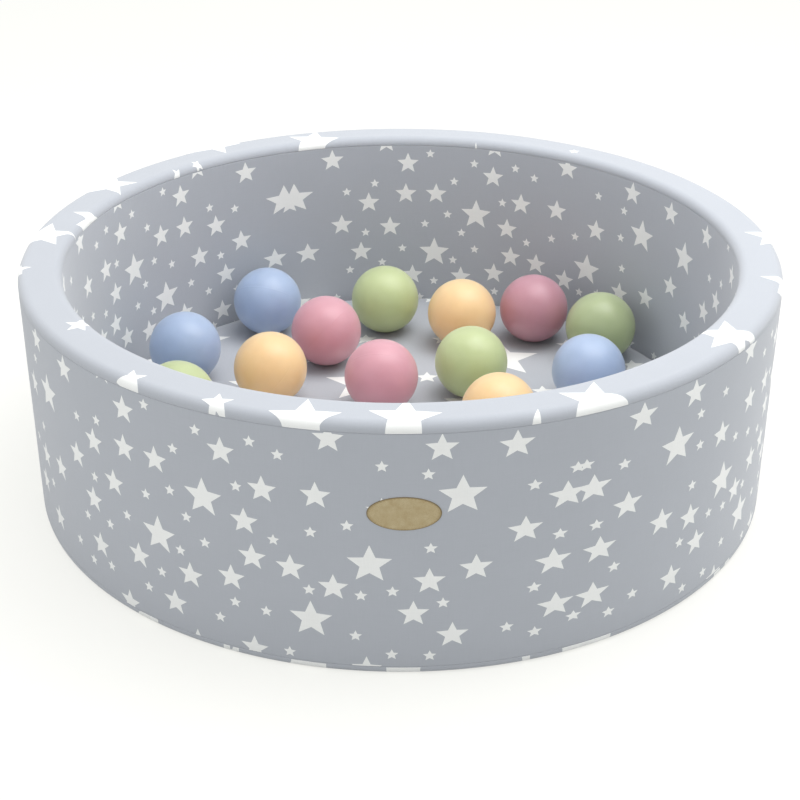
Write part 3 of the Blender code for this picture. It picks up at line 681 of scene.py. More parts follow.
tables = ((inner_large, LARGE), (inner_medium, MEDIUM), (inner_small, SMALL))
flat = wall_flat(tables, half_round=np.pi * RING_INSIDE, left_out=INNER_LEFT_OUT, **INNER_FOLD)
flat = joined_flats(flat, wall_flat(inner_right))
place_print("inner_wall_stars", flat, inner_wall_spot, inner_panel.place, "ring")


UPRIGHT_SHARE = 0.2
UPRIGHT_END = 2 * MM


def plan_spot(panel, least_run=SEAM_MARGIN, most_run=1.0):
    """Plan places become the azimuth and the run of the panel under them. On an upright end the radius counts as
    changing by a share of the height, so that a star that reaches past an edge runs straight down it."""
    sign = 1 if panel.line[-1, 0] > panel.line[0, 0] else -1
    past_end = panel.runs - np.clip(panel.runs, UPRIGHT_END, panel.length - UPRIGHT_END)
    upright = UPRIGHT_SHARE * past_end
    order = np.maximum.accumulate(sign * panel.line[:, 0] + upright)

    def to_run(points):
        azimuth = np.arctan2(points[:, 0], -points[:, 1])
        run = np.interp(sign * np.hypot(*points.T), order, panel.runs)
        return np.stack([azimuth, np.clip(run, least_run, min(most_run, panel.length - SEAM_MARGIN))], axis=1)

    return to_run


rim_sizes = ((rim_large, RIM_LARGE), (rim_small, RIM_SMALL), (rim_smallest, RIM_SMALLEST))
rim_flat = laid_stars(np.concatenate([sized(stars, size, RIM_TURN) for stars, size in rim_sizes]), 2)
place_print("rim_band_stars", rim_flat, plan_spot(rim_panel), rim_panel.place, "ring")
trough_cloth = abs(TROUGH_HEAD - LIP_EDGE) + np.hypot(TROUGH_HALF - TROUGH_HEAD, LIP_LEVEL) + 0.5 * MM
outer_spot = plan_spot(base_outer_panel, least_run=trough_cloth)
inner_spot = plan_spot(base_inner_panel, most_run=base_inner_panel.length - trough_cloth)
for name, panel, spot in (("outer", base_outer_panel, outer_spot), ("inner", base_inner_panel, inner_spot)):
    place_print(f"base_stars_{name}", rim_flat, spot, panel.place, "ring", flipped=True)


# Oval patch
# A thin bare oval of tan imitation leather, sewn on the front a little to the right of the middle.
# Its cut edge is rounded and darkened, and one row of tan thread runs close inside it.

PATCH_HALF_WIDTH, PATCH_HALF_HEIGHT = 37 * MM, 19 * MM
PATCH_LEVEL, PATCH_ALONG = 195 * MM, 3.6 * MM


def weld(piece):
    """Merge the doubled points where a grid closes on itself or on a pole."""
    mesh = piece.data
    work = bmesh.new()
    work.from_mesh(mesh)
    bmesh.ops.remove_doubles(work, verts=work.verts, dist=1e-6)
    work.to_mesh(mesh)
    work.free()


def on_front(across, up, out):
    """A place on the outer wall, from how far it is right and up of the patch's middle and out of the cloth."""
    run = PATCH_LEVEL + up - wall_low
    return outer_panel.place((PATCH_ALONG + across) / RING_OUTSIDE, run, out)


# Share of the oval's reach, and height over the cloth in mm: up the edge, rounded over, stitch channel, crown
patch_section = np.array([
    (1.0, 0.0), (1.0, 0.45), (0.997, 0.66), (0.988, 0.80), (0.972, 0.84), (0.950, 0.76), (0.930, 0.62),
    (0.912, 0.74), (0.894, 0.86), (0.86, 0.9), (0.75, 0.94), (0.6, 0.97), (0.45, 0.99), (0.3, 1.0), (0.15, 1.0),
    (0.0, 1.0),
])  # fmt: skip
patch_shares, patch_heights = patch_section.T
PATCH_UNDER = -0.05 * MM
PATCH_MAP_LENGTH = 0.18
shares = np.concatenate([patch_shares, patch_shares[::-1][:-1]])
heights = np.concatenate([patch_heights * MM, np.full(len(patch_shares) - 1, PATCH_UNDER)])
around = np.linspace(0, 2 * np.pi, 121)[:-1]
points = on_front(
    PATCH_HALF_WIDTH * np.cos(around)[:, None] * shares,
    PATCH_HALF_HEIGHT * np.sin(around)[:, None] * shares,
    np.broadcast_to(heights, (len(around), len(shares))),
)
patch = grid_piece(
    "oval_patch_leather", points, np.linspace(0, PATCH_MAP_LENGTH, len(around) + 1),
    np.concatenate([shares, shares[:1]]), ring_rows=True, ring_columns=True,
)  # fmt: skip
weld(patch)

leather, nodes, shader = new_material("tan_imitation_leather", Roughness=0.62)
place = nodes.place()
cells = nodes.add("ShaderNodeTexVoronoi", {"feature": "DISTANCE_TO_EDGE"}, Vector=place, Scale=900.0)
grain = cells.outputs["Distance"]
clouds = nodes.noise(place, 130.0, 4.0, 0.6)
cloth = nodes.cloth()
share = nodes.add("ShaderNodeSeparateXYZ", Vector=cloth).outputs[1]
tan = nodes.mix(nodes.ramp(clouds, (0.35, 0.0), (0.68, 1.0)), colour(177, 158, 118), colour(190, 175, 138))
creased = nodes.mix(nodes.ramp(grain, (0.0, 0.45), (0.12, 0.0)), tan, colour(150, 128, 88))
edged = nodes.mix(nodes.ramp(share, (0.94, 0.0), (0.985, 1.0)), creased, colour(122, 106, 72))
rise = nodes.bump(grain, 0.15 * MM)
drive(nodes, shader, Base_Color=edged, Normal=rise)
drive(nodes, shader, Roughness=nodes.ramp(clouds, (0.3, 0.55), (0.7, 0.7)))
patch.data.materials.append(leather)
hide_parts("oval_patch")
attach(patch, "ring")


def thread_row(name, places, direction, outward, length, thickness):
    """A row of stitches, each a short thread of five rings of six points. The rings go along the direction, arch
    outwards as one minus the square of their share from the middle, and shrink at the two ends."""
    share = np.array([-1.0, -0.8, 0.0, 0.8, 1.0])
    size = np.array([0.35, 0.9, 1.0, 0.9, 0.35]) * thickness / 2
    arch = thickness * (0.55 * (1 - share**2) - 0.25)
    turn = np.arange(6) * np.pi / 3
    side = np.cross(direction, outward)
    forward = direction[:, None] * (share * length / 2)[:, None]
    middle = places[:, None] + forward + outward[:, None] * arch[:, None]
    ring = side[:, None, None] * np.cos(turn)[:, None] + outward[:, None, None] * np.sin(turn)[:, None]
    points = middle[:, :, None] + ring * size[:, None, None]
    k, n = np.meshgrid(np.arange(4), np.arange(6), indexing="ij")
    k, n = k.ravel(), n.ravel()
    quads = np.stack([k * 6 + n, k * 6 + (n + 1) % 6, (k + 1) * 6 + (n + 1) % 6, (k + 1) * 6 + n], axis=1)
    first = (np.arange(len(places)) * 30)[:, None, None]
    ends = np.stack([np.arange(6)[::-1], 24 + np.arange(6)])
    faces = (quads[None] + first).reshape(-1, 4).tolist() + (ends[None] + first).reshape(-1, 6).tolist()
    mesh = bpy.data.meshes.new(name)
    mesh.from_pydata(points.reshape(-1, 3), [], faces)
    mesh.shade_smooth()
    return linked(name, mesh)


def thread_material(name, tint):
    """Twisted thread: fine slanting bands of shade and height."""
    material, nodes, shader = new_material(name, Roughness=0.8)
    place = nodes.place()
    bands = nodes.add("ShaderNodeTexWave", {"bands_direction": "DIAGONAL"}, Vector=place, Scale=900.0)
    twist = bands.outputs["Fac"]
    dark = tuple(0.7 * part for part in tint[:3]) + (1.0,)
    drive(nodes, shader, Base_Color=nodes.mix(twist, dark, tint))
    rise = nodes.bump(twist, 0.08 * MM, 0.4)
    drive(nodes, shader, Normal=rise)
    return material


def seen_step(function, values, step):
    """The direction in which a place moves as its parameter grows."""
    change = function(values + step) - function(values - step)
    return change / np.linalg.norm(change, axis=1)[:, None]


STITCH_PITCH = 3.4 * MM
PATCH_CHANNEL_SHARE, PATCH_CHANNEL_LEVEL = 0.93, 0.66 * MM


def oval_place(turn):
    """A place in the stitch channel at a turn round the oval."""
    across = PATCH_HALF_WIDTH * PATCH_CHANNEL_SHARE * np.cos(turn)
    return on_front(across, PATCH_HALF_HEIGHT * PATCH_CHANNEL_SHARE * np.sin(turn), PATCH_CHANNEL_LEVEL)


fine_turns = np.linspace(0, 2 * np.pi, 2001)
oval_run = np.concatenate([[0], np.cumsum(np.linalg.norm(np.diff(oval_place(fine_turns), axis=0), axis=1))])
stitch_count = int(oval_run[-1] / STITCH_PITCH)
turns = np.interp(np.arange(stitch_count) / stitch_count * oval_run[-1], oval_run, fine_turns)
direction = seen_step(oval_place, turns, 0.01)
outward = swung(1.0, (PATCH_ALONG + PATCH_HALF_WIDTH * np.cos(turns)) / RING_OUTSIDE, 0.0)
patch_thread = thread_row("oval_patch_stitches", oval_place(turns), direction, outward, 2.4 * MM, 0.42 * MM)
patch_thread.data.materials.append(thread_material("tan_thread", colour(182, 157, 112)))
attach(patch_thread, "ring")


# Ring zip
# A nylon coil zip round the floor face, through which the foam goes in. Each coil is sewn under a woven tape, and
# the tapes to the base panels' lips. The metal parts are nickelled. A cotton tab closes the slot past both ends.

TAPE_LEVEL = 7.1 * MM
TAPE_THICKNESS = 0.6 * MM
TAPE_WIDTH = 9.5 * MM
TAPE_NEAR = 0.15 * MM
TAIL_SPREAD = 1.4 * MM
COIL_START = -0.9 * MM
COIL_PITCH = 2.2 * MM
COIL_WIRE = 0.35 * MM
COIL_LEVEL = 6.0 * MM
LIP_STITCHING = 8.1 * MM
RING_ZIP_START = np.radians(200.4545)
RING_ZIP_LENGTH = np.radians(319.0909) * ZIP_CIRCLE
RING_ZIP_RUN = np.radians(317.5) * ZIP_CIRCLE
HALF_TAB = np.radians(7.4147)
RING_TAIL = (np.radians(20.4545) - HALF_TAB) * ZIP_CIRCLE - 0.1 * MM


def ring_zip_place(along, across, up):
    """A place on the ring's zip: along it from the closed end, across towards the pit's middle, and up."""
    return swung(ZIP_CIRCLE - across, RING_ZIP_START + along / ZIP_CIRCLE, up)


def merged(name, pieces):
    """Several meshes as one piece."""
    work = bmesh.new()
    for piece in pieces:
        work.from_mesh(piece.data)
    mesh = bpy.data.meshes.new(name)
    work.to_mesh(mesh)
    work.free()
    for piece in pieces:
        bpy.data.objects.remove(piece)
    return linked(name, mesh)


def tapes(name, place, length, run, tail, step):
    """Both woven tapes. Their near edges run close together, and ease apart by a smooth step round the slider's
    post at both ends of its run. Each has a bead along both edges and a shallow channel over the coil's sewing."""
    inset = np.array([0, 0.06, 0.2, 0.5, 0.8, 2.6, 3.0, 3.4, 6.5, 8.7, 9.0, 9.3, 9.44, 9.5]) * MM
    hollow = np.array([0.3, 0.14, 0.02, 0.0, 0.1, 0.1, 0.18, 0.1, 0.08, 0.1, 0.0, 0.02, 0.14, 0.3]) * MM
    opening, closing = np.linspace(-13, -7, 7), np.linspace(0, 2, 5)
    lines = COIL_START + np.concatenate([opening, closing]) * MM
    knots = COIL_START + np.array([opening[0], opening[-1], closing[0], closing[-1]]) * MM
    even = np.linspace(-tail, length + tail, int((length + 2 * tail) / step))
    along = np.sort(np.concatenate([even, lines, run + lines]))
    parting = np.interp(along, np.concatenate([knots, run + knots]), [0, 1, 1, 0, 0, 1, 1, 0])
    near = TAPE_NEAR + (TAIL_SPREAD - TAPE_NEAR) * parting**2 * (3 - 2 * parting)
    far = TAPE_NEAR + TAPE_WIDTH
    across = near[:, None] + (far - near)[:, None] * inset / TAPE_WIDTH
    ring = np.concatenate([across[:, ::-1], across[:, 1:-1]], axis=1)
    up = np.concatenate([(TAPE_LEVEL + hollow)[::-1], (TAPE_LEVEL + TAPE_THICKNESS - hollow)[1:-1]])
    round_section = np.arange(len(up) + 1) * 0.8 * MM
    halves = []
    for side in (1, -1):
        points = place(along[:, None], side * ring[:, ::side], up[None, ::side])
        halves.append(grid_piece(name, points, along, round_section, ring_columns=True, capped=True))
    return merged(name, halves)


# Where the heads part for the slider's post, in mm from the end of its run, and by what share
COIL_PARTING = ([-10, -6.2, -4, -2, 0.4], [0, 0.75, 1, 0.4, 0])


def coils(name, place, length, run):
    """Both nylon coils. Each is one wire wound to a flat spiral, and the other side's turns come half a pitch
    later, so that the heads lie between each other, apart from where the slider's post stands at the end of its
    run. The wire's five-sided section keeps one side along the zip."""
    halves = []
    for side, shift in ((1, 0.0), (-1, 0.5)):
        start = COIL_START + COIL_WIRE + shift * COIL_PITCH
        count = int((length - COIL_WIRE - start) / COIL_PITCH * 8)
        turn = np.arange(count + 1) * np.pi / 4
        along = start + turn / (2 * np.pi) * COIL_PITCH
        parting = np.interp(along - run, np.array(COIL_PARTING[0]) * MM, COIL_PARTING[1])
        across = side * (1.2 + 1.15 * parting + (1.35 - 0.35 * parting) * np.cos(turn)) * MM
        centre = place(along, across, COIL_LEVEL + 0.75 * MM * np.sin(turn))
        forward = place(along + 0.1 * MM, across, 0.0) - place(along - 0.1 * MM, across, 0.0)
        forward /= np.linalg.norm(forward, axis=1)[:, None]
        tangent = np.gradient(centre, axis=0)
        tangent /= np.linalg.norm(tangent, axis=1)[:, None]
        first = forward - tangent * np.sum(forward * tangent, axis=1)[:, None]
        first /= np.linalg.norm(first, axis=1)[:, None]
        second = np.cross(first, tangent)
        around = np.arange(5) * 2 * np.pi / 5
        ring = first[:, None] * np.cos(around)[:, None] + second[:, None] * np.sin(around)[:, None]
        points = centre[:, None] + ring * COIL_WIRE
        wire_round = np.linspace(0, 2 * np.pi * COIL_WIRE, 6)
        halves.append(grid_piece(name, points, along, wire_round, ring_columns=True, capped=True))
    return merged(name, halves)


def lip_stitches(name, place, start, end):
    """The two rows of stitches that hold the tapes to the lips, seen on the lips' lower face."""
    along = np.arange(start, end, STITCH_PITCH)
    rows = []
    for side in (1, -1):
        across = side * LIP_STITCHING
        direction = place(along + 0.5 * MM, across, 0.0) - place(along - 0.5 * MM, across, 0.0)
        direction /= np.linalg.norm(direction, axis=1)[:, None]
        outward = np.broadcast_to([0.0, 0.0, -1.0], direction.shape)
        rows.append(thread_row(name, place(along, across, LIP_LEVEL), direction, outward, 2.5 * MM, 0.4 * MM))
    return merged(name, rows)


def nickel_plate(name):
    """Nickelled zinc: a pale warm metal, finely brushed, a little duller in cloudy patches."""
    material, nodes, shader = new_material(name, Metallic=1.0)
    place = nodes.place()
    drawn = nodes.add("ShaderNodeVectorMath", {"operation": "MULTIPLY"}, i0=place, i1=(400.0, 6000.0, 6000.0))
    brushed = nodes.noise(drawn.outputs[0], 1.0)
    clouds = nodes.noise(place, 150.0, 3.0)
    drive(nodes, shader, Base_Color=nodes.mix(brushed, colour(176, 174, 168), colour(190, 188, 183)))
    drive(nodes, shader, Roughness=nodes.ramp(clouds, (0.3, 0.22), (0.7, 0.34)))
    rise = nodes.bump(brushed, 0.02 * MM, 0.12)
    drive(nodes, shader, Normal=rise)
    return material


tape_weave, nodes, shader = new_material("grey_zip_tape", Roughness=0.85, Specular_IOR_Level=0.25)
cloth = nodes.cloth()
split = nodes.add("ShaderNodeSeparateXYZ", Vector=cloth)
folded = nodes.math("PINGPONG", split.outputs[1], 1.2 * MM)
slant = nodes.math("ADD", split.outputs[0], folded)
ribs = nodes.math("SINE", nodes.math("MULTIPLY", slant, 2 * np.pi / (0.7 * MM)))
twill = nodes.math("MULTIPLY_ADD", ribs, 0.5, 0.5)
shade = nodes.mix(twill, colour(138, 142, 150), colour(158, 162, 170))
rise = nodes.bump(twill, 0.1 * MM)
drive(nodes, shader, Base_Color=shade, Normal=rise)

nylon, nodes, shader = new_material("grey_nylon_coil", Roughness=0.42, Specular_IOR_Level=0.5)
place = nodes.place()
clouds = nodes.noise(place, 300.0)
drive(nodes, shader, Base_Color=nodes.mix(clouds, colour(134, 138, 146), colour(150, 154, 162)))
drive(nodes, shader, Roughness=nodes.ramp(clouds, (0.3, 0.36), (0.7, 0.5)))

nickel = nickel_plate("nickel_plate")
grey_thread = thread_material("grey_thread", colour(196, 199, 205))


def dress_zip(name, body, sides, place, length, run, tail, step, stitches):
    """A whole zip: tapes and coils in place of the two plain chains, stitches from a start to an end, and nickel
    on the metal parts, whose edges are rounded a little."""
    tape = tapes(f"{name}_tapes", place, length, run, tail, step)
    coil = coils(f"{name}_coils", place, length, run)
    thread = lip_stitches(f"{name}_stitches", place, *stitches)
    tape.data.materials.append(tape_weave)
    coil.data.materials.append(nylon)
    thread.data.materials.append(grey_thread)
    chains = [f"{name}_chain_{side}" for side in sides]
    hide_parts(*chains)
    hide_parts(*chains)
    for piece in (tape, coil, thread):
        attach(piece, body)
    metal = ["slider", "pull", "bottom_stop", *(f"top_stop_{side}" for side in sides)]
    for part in metal:
        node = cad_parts[f"{name}_{part}"]
        for k in range(len(node.material_slots)):
            node.material_slots[k].material = nickel
        rounding = node.modifiers.new("rounded_edges", "BEVEL")
        rounding.width = 0.12 * MM
        rounding.segments = 2
        rounding.limit_method = "ANGLE"
        rounding.angle_limit = np.radians(40)
    return tape, coil


ring_tape, ring_coil = dress_zip(
    "ring_zip", "ring", ("inner", "outer"), ring_zip_place, RING_ZIP_LENGTH, RING_ZIP_RUN, RING_TAIL,
    step=7.4 * MM, stitches=(0.0, 2 * np.pi * ZIP_CIRCLE - 2 * MM),
)  # fmt: skip

TAB_ROUND = 0.3 * MM
tab_edge = TAPE_NEAR + TAPE_WIDTH
corners = [
    corner(ZIP_CIRCLE + side * (tab_edge - TAB_ROUND), TAPE_LEVEL + up, TAB_ROUND, start, start + 90, 4)
    for side, up, start in (
        (1, 0.7 * MM, 0), (-1, 0.7 * MM, 90), (-1, 0.3 * MM, 180), (1, 0.3 * MM, 270),
    )
]  # fmt: skip
section = densified(np.concatenate([*corners, corners[0][:1]]), 1.5 * MM)[:-1]
azimuths = np.pi + np.linspace(-HALF_TAB, HALF_TAB, 31)
points = swung(section[None, :, 0], azimuths[:, None], section[None, :, 1])
tab_run = np.linspace(0, 4 * tab_edge, len(section) + 1)
end_tab = grid_piece(
    "ring_zip_end_tab_cloth", points, azimuths * ZIP_CIRCLE, tab_run, ring_columns=True, capped=True
)
end_tab.data.materials.append(cotton("ring_zip_end_tab_cloth", COTTON_GREY))
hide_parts("ring_zip_end_tab")
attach(end_tab, "ring")


# Mat
# A foam disc, 48 mm thick, in a zipped cover of a top, a side band and a base slit for the zip.
# The mat lies loose inside the ring and lifts straight out. Its print has the walls' stars, 2.36 times as large.

MAT_EDGE = 399.2 * MM
MAT_HEIGHT = 48 * MM
MAT_ROUND = 7 * MM
MAT_TOP_SEAM = 38 * MM
MAT_ZIP_HALF = 339.2 * MM
MAT_END_ROOM = 23.7 * MM
MAT_SLOT_END = MAT_ZIP_HALF + 8 * MM
MAT_TAIL = 16 * MM
MAT_ZIP_RUN = 667 * MM
MAT_SCALE = 2.36


def mat_swell(azimuth, _, across):
    """The mat's soft unevenness: three slow waves over the plan, from sines of x, y and their sum."""
    x, y = across * np.sin(azimuth), -across * np.cos(azimuth)
    waves = np.sin(x / (41 * MM) + 0.4) + np.sin(y / (37 * MM)) + 0.7 * np.sin((x + y) / (29 * MM) + 1.9)
    return 0.15 * MM * waves


def trough_depth(x, y, inset):
    """How far the trough's ramp has risen at a plan place: it goes up inwards from its foot on all four sides."""
    slope = 1 / TROUGH_SLOPE
    foot = TROUGH_HALF + inset * np.hypot(1, TROUGH_SLOPE)
    inward = np.minimum(MAT_ZIP_HALF + MAT_END_ROOM + foot - TROUGH_HEAD - np.abs(x), foot - np.abs(y))
    return np.maximum(inward, 0) * slope


def mat_half_grid(edge, base_round, top, inset, inner_edge):
    """The rear half of a trough-cut base, as a grid: rows along x, columns from the zip's side outwards. The
    columns keep to the trough's lines, then share the way to the round-off and go out and up the radius."""
    flat_edge = edge - BASE_RADIUS
    foot = TROUGH_HALF + inset * np.hypot(1, TROUGH_SLOPE)
    head = foot - (top - inset) * TROUGH_SLOPE
    end = MAT_ZIP_HALF + MAT_END_ROOM + foot - TROUGH_HEAD
    end_head = end - (top - inset) * TROUGH_SLOPE
    middle = np.linspace(0, MAT_SLOT_END, 45)
    marks = [middle[:-1], [MAT_SLOT_END, MAT_SLOT_END + 0.05 * MM], np.linspace(end_head, end, 3)]
    swing = np.linspace(np.arcsin((end + 1 * MM) / flat_edge), np.pi / 2, 14)
    right = np.concatenate([*marks, flat_edge * np.sin(swing)])
    x = np.concatenate([-right[::-1], right[1:]])
    reach = np.sqrt(np.maximum(flat_edge**2 - x**2, 0))
    low = np.where(np.abs(x) <= MAT_SLOT_END + 0.01 * MM, inner_edge, 0.0)
    share = np.linspace(0, 1, 22)[1:]
    beyond = foot + (reach[:, None] - foot) * share
    near = low[:, None] + np.array([0.0, 0.5, 1.0]) * (head - low[:, None])
    slope = np.broadcast_to([(head + foot) / 2, foot], (len(x), 2))
    outward = np.concatenate([near, slope, beyond], axis=1)
    narrow = reach < foot + 8 * MM
    outward[narrow] = reach[narrow, None] * np.linspace(0, 1, outward.shape[1])
    height = inset + np.minimum(trough_depth(x[:, None], outward, inset), top - inset)
    flat = np.stack([np.broadcast_to(x[:, None], outward.shape), outward, height], axis=-1)
    turn = np.arctan2(reach, x)
    out, up = base_round[:, 0], base_round[:, 1]
    rounded = [np.cos(turn)[:, None] * out, np.sin(turn)[:, None] * out, np.broadcast_to(up, (len(x), len(up)))]
    return np.concatenate([flat, np.stack(rounded, axis=-1)], axis=1)


def both_halves(name, half):
    """A half grid and its mirror image at -Y, facing down, as one welded mesh with its plan as its UV map."""
    rear = grid_piece(name, half, half[:, 0, 0], np.zeros(half.shape[1]))
    work = bmesh.new()
    work.from_mesh(rear.data)
    rear_faces = work.faces[:]
    copied = bmesh.ops.duplicate(work, geom=work.verts[:] + work.edges[:] + rear_faces)["geom"]
    verts = [part for part in copied if isinstance(part, bmesh.types.BMVert)]
    bmesh.ops.scale(work, verts=verts, vec=(1, -1, 1))
    bmesh.ops.reverse_faces(work, faces=rear_faces)
    bmesh.ops.remove_doubles(work, verts=work.verts, dist=2e-6)
    work.to_mesh(rear.data)
    work.free()
    plan_map(rear)
    rear.data.set_sharp_from_angle(angle=np.radians(35))
    return rear


def plan_map(piece):
    """Set the UV map to each corner's place in plan."""
    mesh = piece.data
    places = np.zeros(len(mesh.vertices) * 3)
    mesh.vertices.foreach_get("co", places)
    corners = np.zeros(len(mesh.loops), int)
    mesh.loops.foreach_get("vertex_index", corners)
    uv = places.reshape(-1, 3)[corners, :2]
    mesh.uv_layers["cloth"].data.foreach_set("uv", uv.astype(np.float32).ravel())


def disc(name, panel, step):
    """A panel that runs to the centre, as an open surface with a welded pole and its plan as its UV map."""
    runs = panel.stations(step)
    points = panel.place(round_azimuths[:, None], runs[None, :])
    piece = grid_piece(name, points, np.zeros(ROUND + 1), runs, ring_rows=True)
    weld(piece)
    plan_map(piece)
    return piece


top_edge = corner(MAT_EDGE - MAT_ROUND, MAT_HEIGHT - MAT_ROUND, MAT_ROUND, 0, 90, 16)
top_line = np.concatenate([[(MAT_EDGE, MAT_TOP_SEAM + HALF_SEAM)], top_edge, [(0.0, MAT_HEIGHT)]])
mat_top_panel = Panel(top_line, seams=(True, False), swell=mat_swell)
mat_side_panel = Panel(flat_run((MAT_EDGE, BASE_SEAM + HALF_SEAM), (MAT_EDGE, MAT_TOP_SEAM - HALF_SEAM)))

foam_round = corner(MAT_EDGE - BASE_RADIUS, BASE_RADIUS, BASE_RADIUS - FOAM_INSET, -90, 0, 6)
foam_top = corner(MAT_EDGE - MAT_ROUND, MAT_HEIGHT - MAT_ROUND, MAT_ROUND - FOAM_INSET, 0, 90, 8)
crown = np.linspace(foam_top[-1, 0], 0, 18)[1:]
upper = np.concatenate([foam_top, np.stack([crown, np.full(17, foam_top[-1, 1])], axis=1)])
half = mat_half_grid(MAT_EDGE, np.concatenate([foam_round, upper]), TROUGH_ROOF, FOAM_INSET, 0.0)
mat_foam = both_halves("mat_foam_disc", half)
mat_foam.data.materials.append(foam_skin)
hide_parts("mat_foam")
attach(mat_foam, "mat")

mat_top = disc("mat_top_cloth", mat_top_panel, 9 * MM)
runs = mat_side_panel.stations(5 * MM)
side_length = 2 * np.pi * MAT_EDGE
mat_side = grid_piece(
    "mat_side_cloth", mat_side_panel.place(round_azimuths[:, None], runs[None, :]),
    np.linspace(0, side_length, ROUND + 1), runs, ring_rows=True,
)  # fmt: skip
base_edge = corner(MAT_EDGE - BASE_RADIUS, BASE_RADIUS, BASE_RADIUS, -90, 0, 10)
to_seam = [(MAT_EDGE, BASE_SEAM - 1 * MM), (MAT_EDGE - 0.5 * MM, BASE_SEAM - HALF_SEAM)]
base_round = np.concatenate([base_edge[1:], to_seam])
mat_base = both_halves("mat_base_cloth", mat_half_grid(MAT_EDGE, base_round, LIP_LEVEL, 0.0, LIP_EDGE))
cut_radius = MAT_EDGE + 6 * MM
for cloth, node, flat, area, seam_width in (
    (mat_top, "mat_cover_top", (2 * cut_radius, 2 * cut_radius), np.pi * cut_radius**2, None),
    (mat_side, "mat_cover_side", (mat_side_panel.length, side_length), None, mat_side_panel.length),
    (mat_base, "mat_cover_base", (2 * cut_radius, 2 * cut_radius), np.pi * cut_radius**2, None),
):
    thicken(cloth, CLOTH)
    cloth.data.materials.append(cotton(cloth.name, COTTON_GREY, seam_width))
    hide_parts(node)
    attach(cloth, "mat")

mat_large = [
    (139, 190), (-49, 116), (-267, -268), (30, -187), (-128, 355), (362, 11), (-297, -8), (-63, -54), (-374, 80),
]  # fmt: skip
mat_medium = [
    (93, 58), (-277, 247), (-195, 109), (-198, 3), (174, 12), (-63, -167), (246, 159), (-184, 232),
    (228, -231), (357, -128), (107, 361), (-222, -104), (163, -168), (36, -379), (205, 312),
    (-315, 176), (76, -276), (286, -96), (-13, -304), (-387, -47), (-10, 361), (-150, -303), (306, -185),
    (74, -43),
]  # fmt: skip
mat_small = [
    (36, 132), (60, 250), (318, 169), (234, 233), (55, 10), (-3, 199), (115, 278), (298, 74), (165, 284),
    (-134, -112), (125, -371), (-119, 191), (131, -119), (-286, -142), (160, -320), (-49, 251), (-358, -151),
    (119, -214), (-130, 237), (119, 115), (-111, -216), (-186, 179), (-324, -100), (217, -120),
    (-84, -353), (160, -95), (12, -103), (293, -246), (-202, -211), (47, 391), (217, 56), (-319, -163),
    (-93, -306), (312, 136), (-250, 50), (-160, -198), (198, -293), (-57, 208), (-155, 41), (-88, 252),
    (192, -77), (189, 92), (-79, -236),
]  # fmt: skip
mat_flat = joined_flats(
    laid_stars(sized(mat_large, LARGE * MAT_SCALE), 2),
    laid_stars(sized(mat_medium, MEDIUM * MAT_SCALE), 2),
    laid_stars(sized(mat_small, SMALL * MAT_SCALE), 1, SMALL_NOTCH),
)
place_print("mat_top_stars", mat_flat, plan_spot(mat_top_panel), mat_top_panel.place, "mat")

side_stars = (
    ([(60, 30), (415, 4)], LARGE), ([(-22, 12), (150, 44), (245, 10), (330, 30), (505, 34)], MEDIUM),
    ([(105, 8), (195, 28), (290, 37), (375, 18), (462, 30), (560, 12)], SMALL),
)  # fmt: skip
side_flats = []
for stars, size in side_stars:
    quarter = sized(stars, size * MAT_SCALE)
    side_flats += [laid_stars(quarter + [k * side_length / 4, 0, 0, 0, 0], 2) for k in range(4)]


def mat_side_spot(points):
    """Along the side band becomes the azimuth, and up the run above the base seam."""
    level = np.clip(points[:, 1], BASE_SEAM + SEAM_MARGIN, MAT_TOP_SEAM - SEAM_MARGIN)
    return np.stack([points[:, 0] / MAT_EDGE, level - BASE_SEAM - HALF_SEAM], axis=1)


side_flat = joined_flats(*side_flats)
place_print("mat_side_stars", side_flat, mat_side_spot, mat_side_panel.place, "mat")

base_line = np.concatenate([[(0.0, 0.0)], base_edge, [(MAT_EDGE, BASE_SEAM - HALF_SEAM)]])
base_panel = Panel(base_line, seams=(False, True))
base_spot = plan_spot(base_panel)


def beside_trough(side):
    """Plan places become the base's azimuth and run, moved out of the trough to its edge on one side."""

    def to_run(points):
        beyond = np.maximum(side * points[:, 1], TROUGH_HALF + 0.5 * MM)
        return base_spot(np.stack([points[:, 0], side * beyond], axis=1))

    return to_run


for half_name, side in (("front", -1), ("rear", 1)):
    name = f"mat_base_stars_{half_name}"
    place_print(name, mat_flat, beside_trough(side), base_panel.place, "mat", flipped=True)


# Mat zip
# The same kind of zip, straight across the middle of the mat's base, so that the foam comes out for the wash.
# It is closed at the right, and its trough is long enough for the pull to lie back at that end.


def mat_zip_place(along, across, up):
    """A place on the mat's zip: along it from the closed end at the right, across towards the front, and up."""
    return np.stack(np.broadcast_arrays(MAT_ZIP_HALF - along, -across, up), axis=-1)


mat_tape, mat_coil = dress_zip(
    "mat_zip", "mat", ("front", "rear"), mat_zip_place, 2 * MAT_ZIP_HALF, MAT_ZIP_RUN, MAT_TAIL,
    step=20 * MM, stitches=(-8 * MM, 2 * MAT_ZIP_HALF + 8 * MM),
)  # fmt: skip


# Balls
# Thirteen hollow balls, 95 mm across, blown in four pastel polyethylenes. The two at the rear right get darker
# copies of their tint as painted shade. They have a matt skin, a hair-thin parting line and a small closed plug
# mark at one pole, and lie loose on the mat.

BALL_RADIUS = 47.5 * MM
# The last two tints are the pink and the green made darker: painted shade for the two balls at the rear right.
ball_tints = {
    "blue": colour(151, 168, 197), "green": colour(172, 184, 138), "orange": colour(235, 187, 141),
    "pink": colour(194, 142, 153), "deep_pink": colour(176, 130, 142), "deep_green": colour(157, 169, 131),
}  # fmt: skip
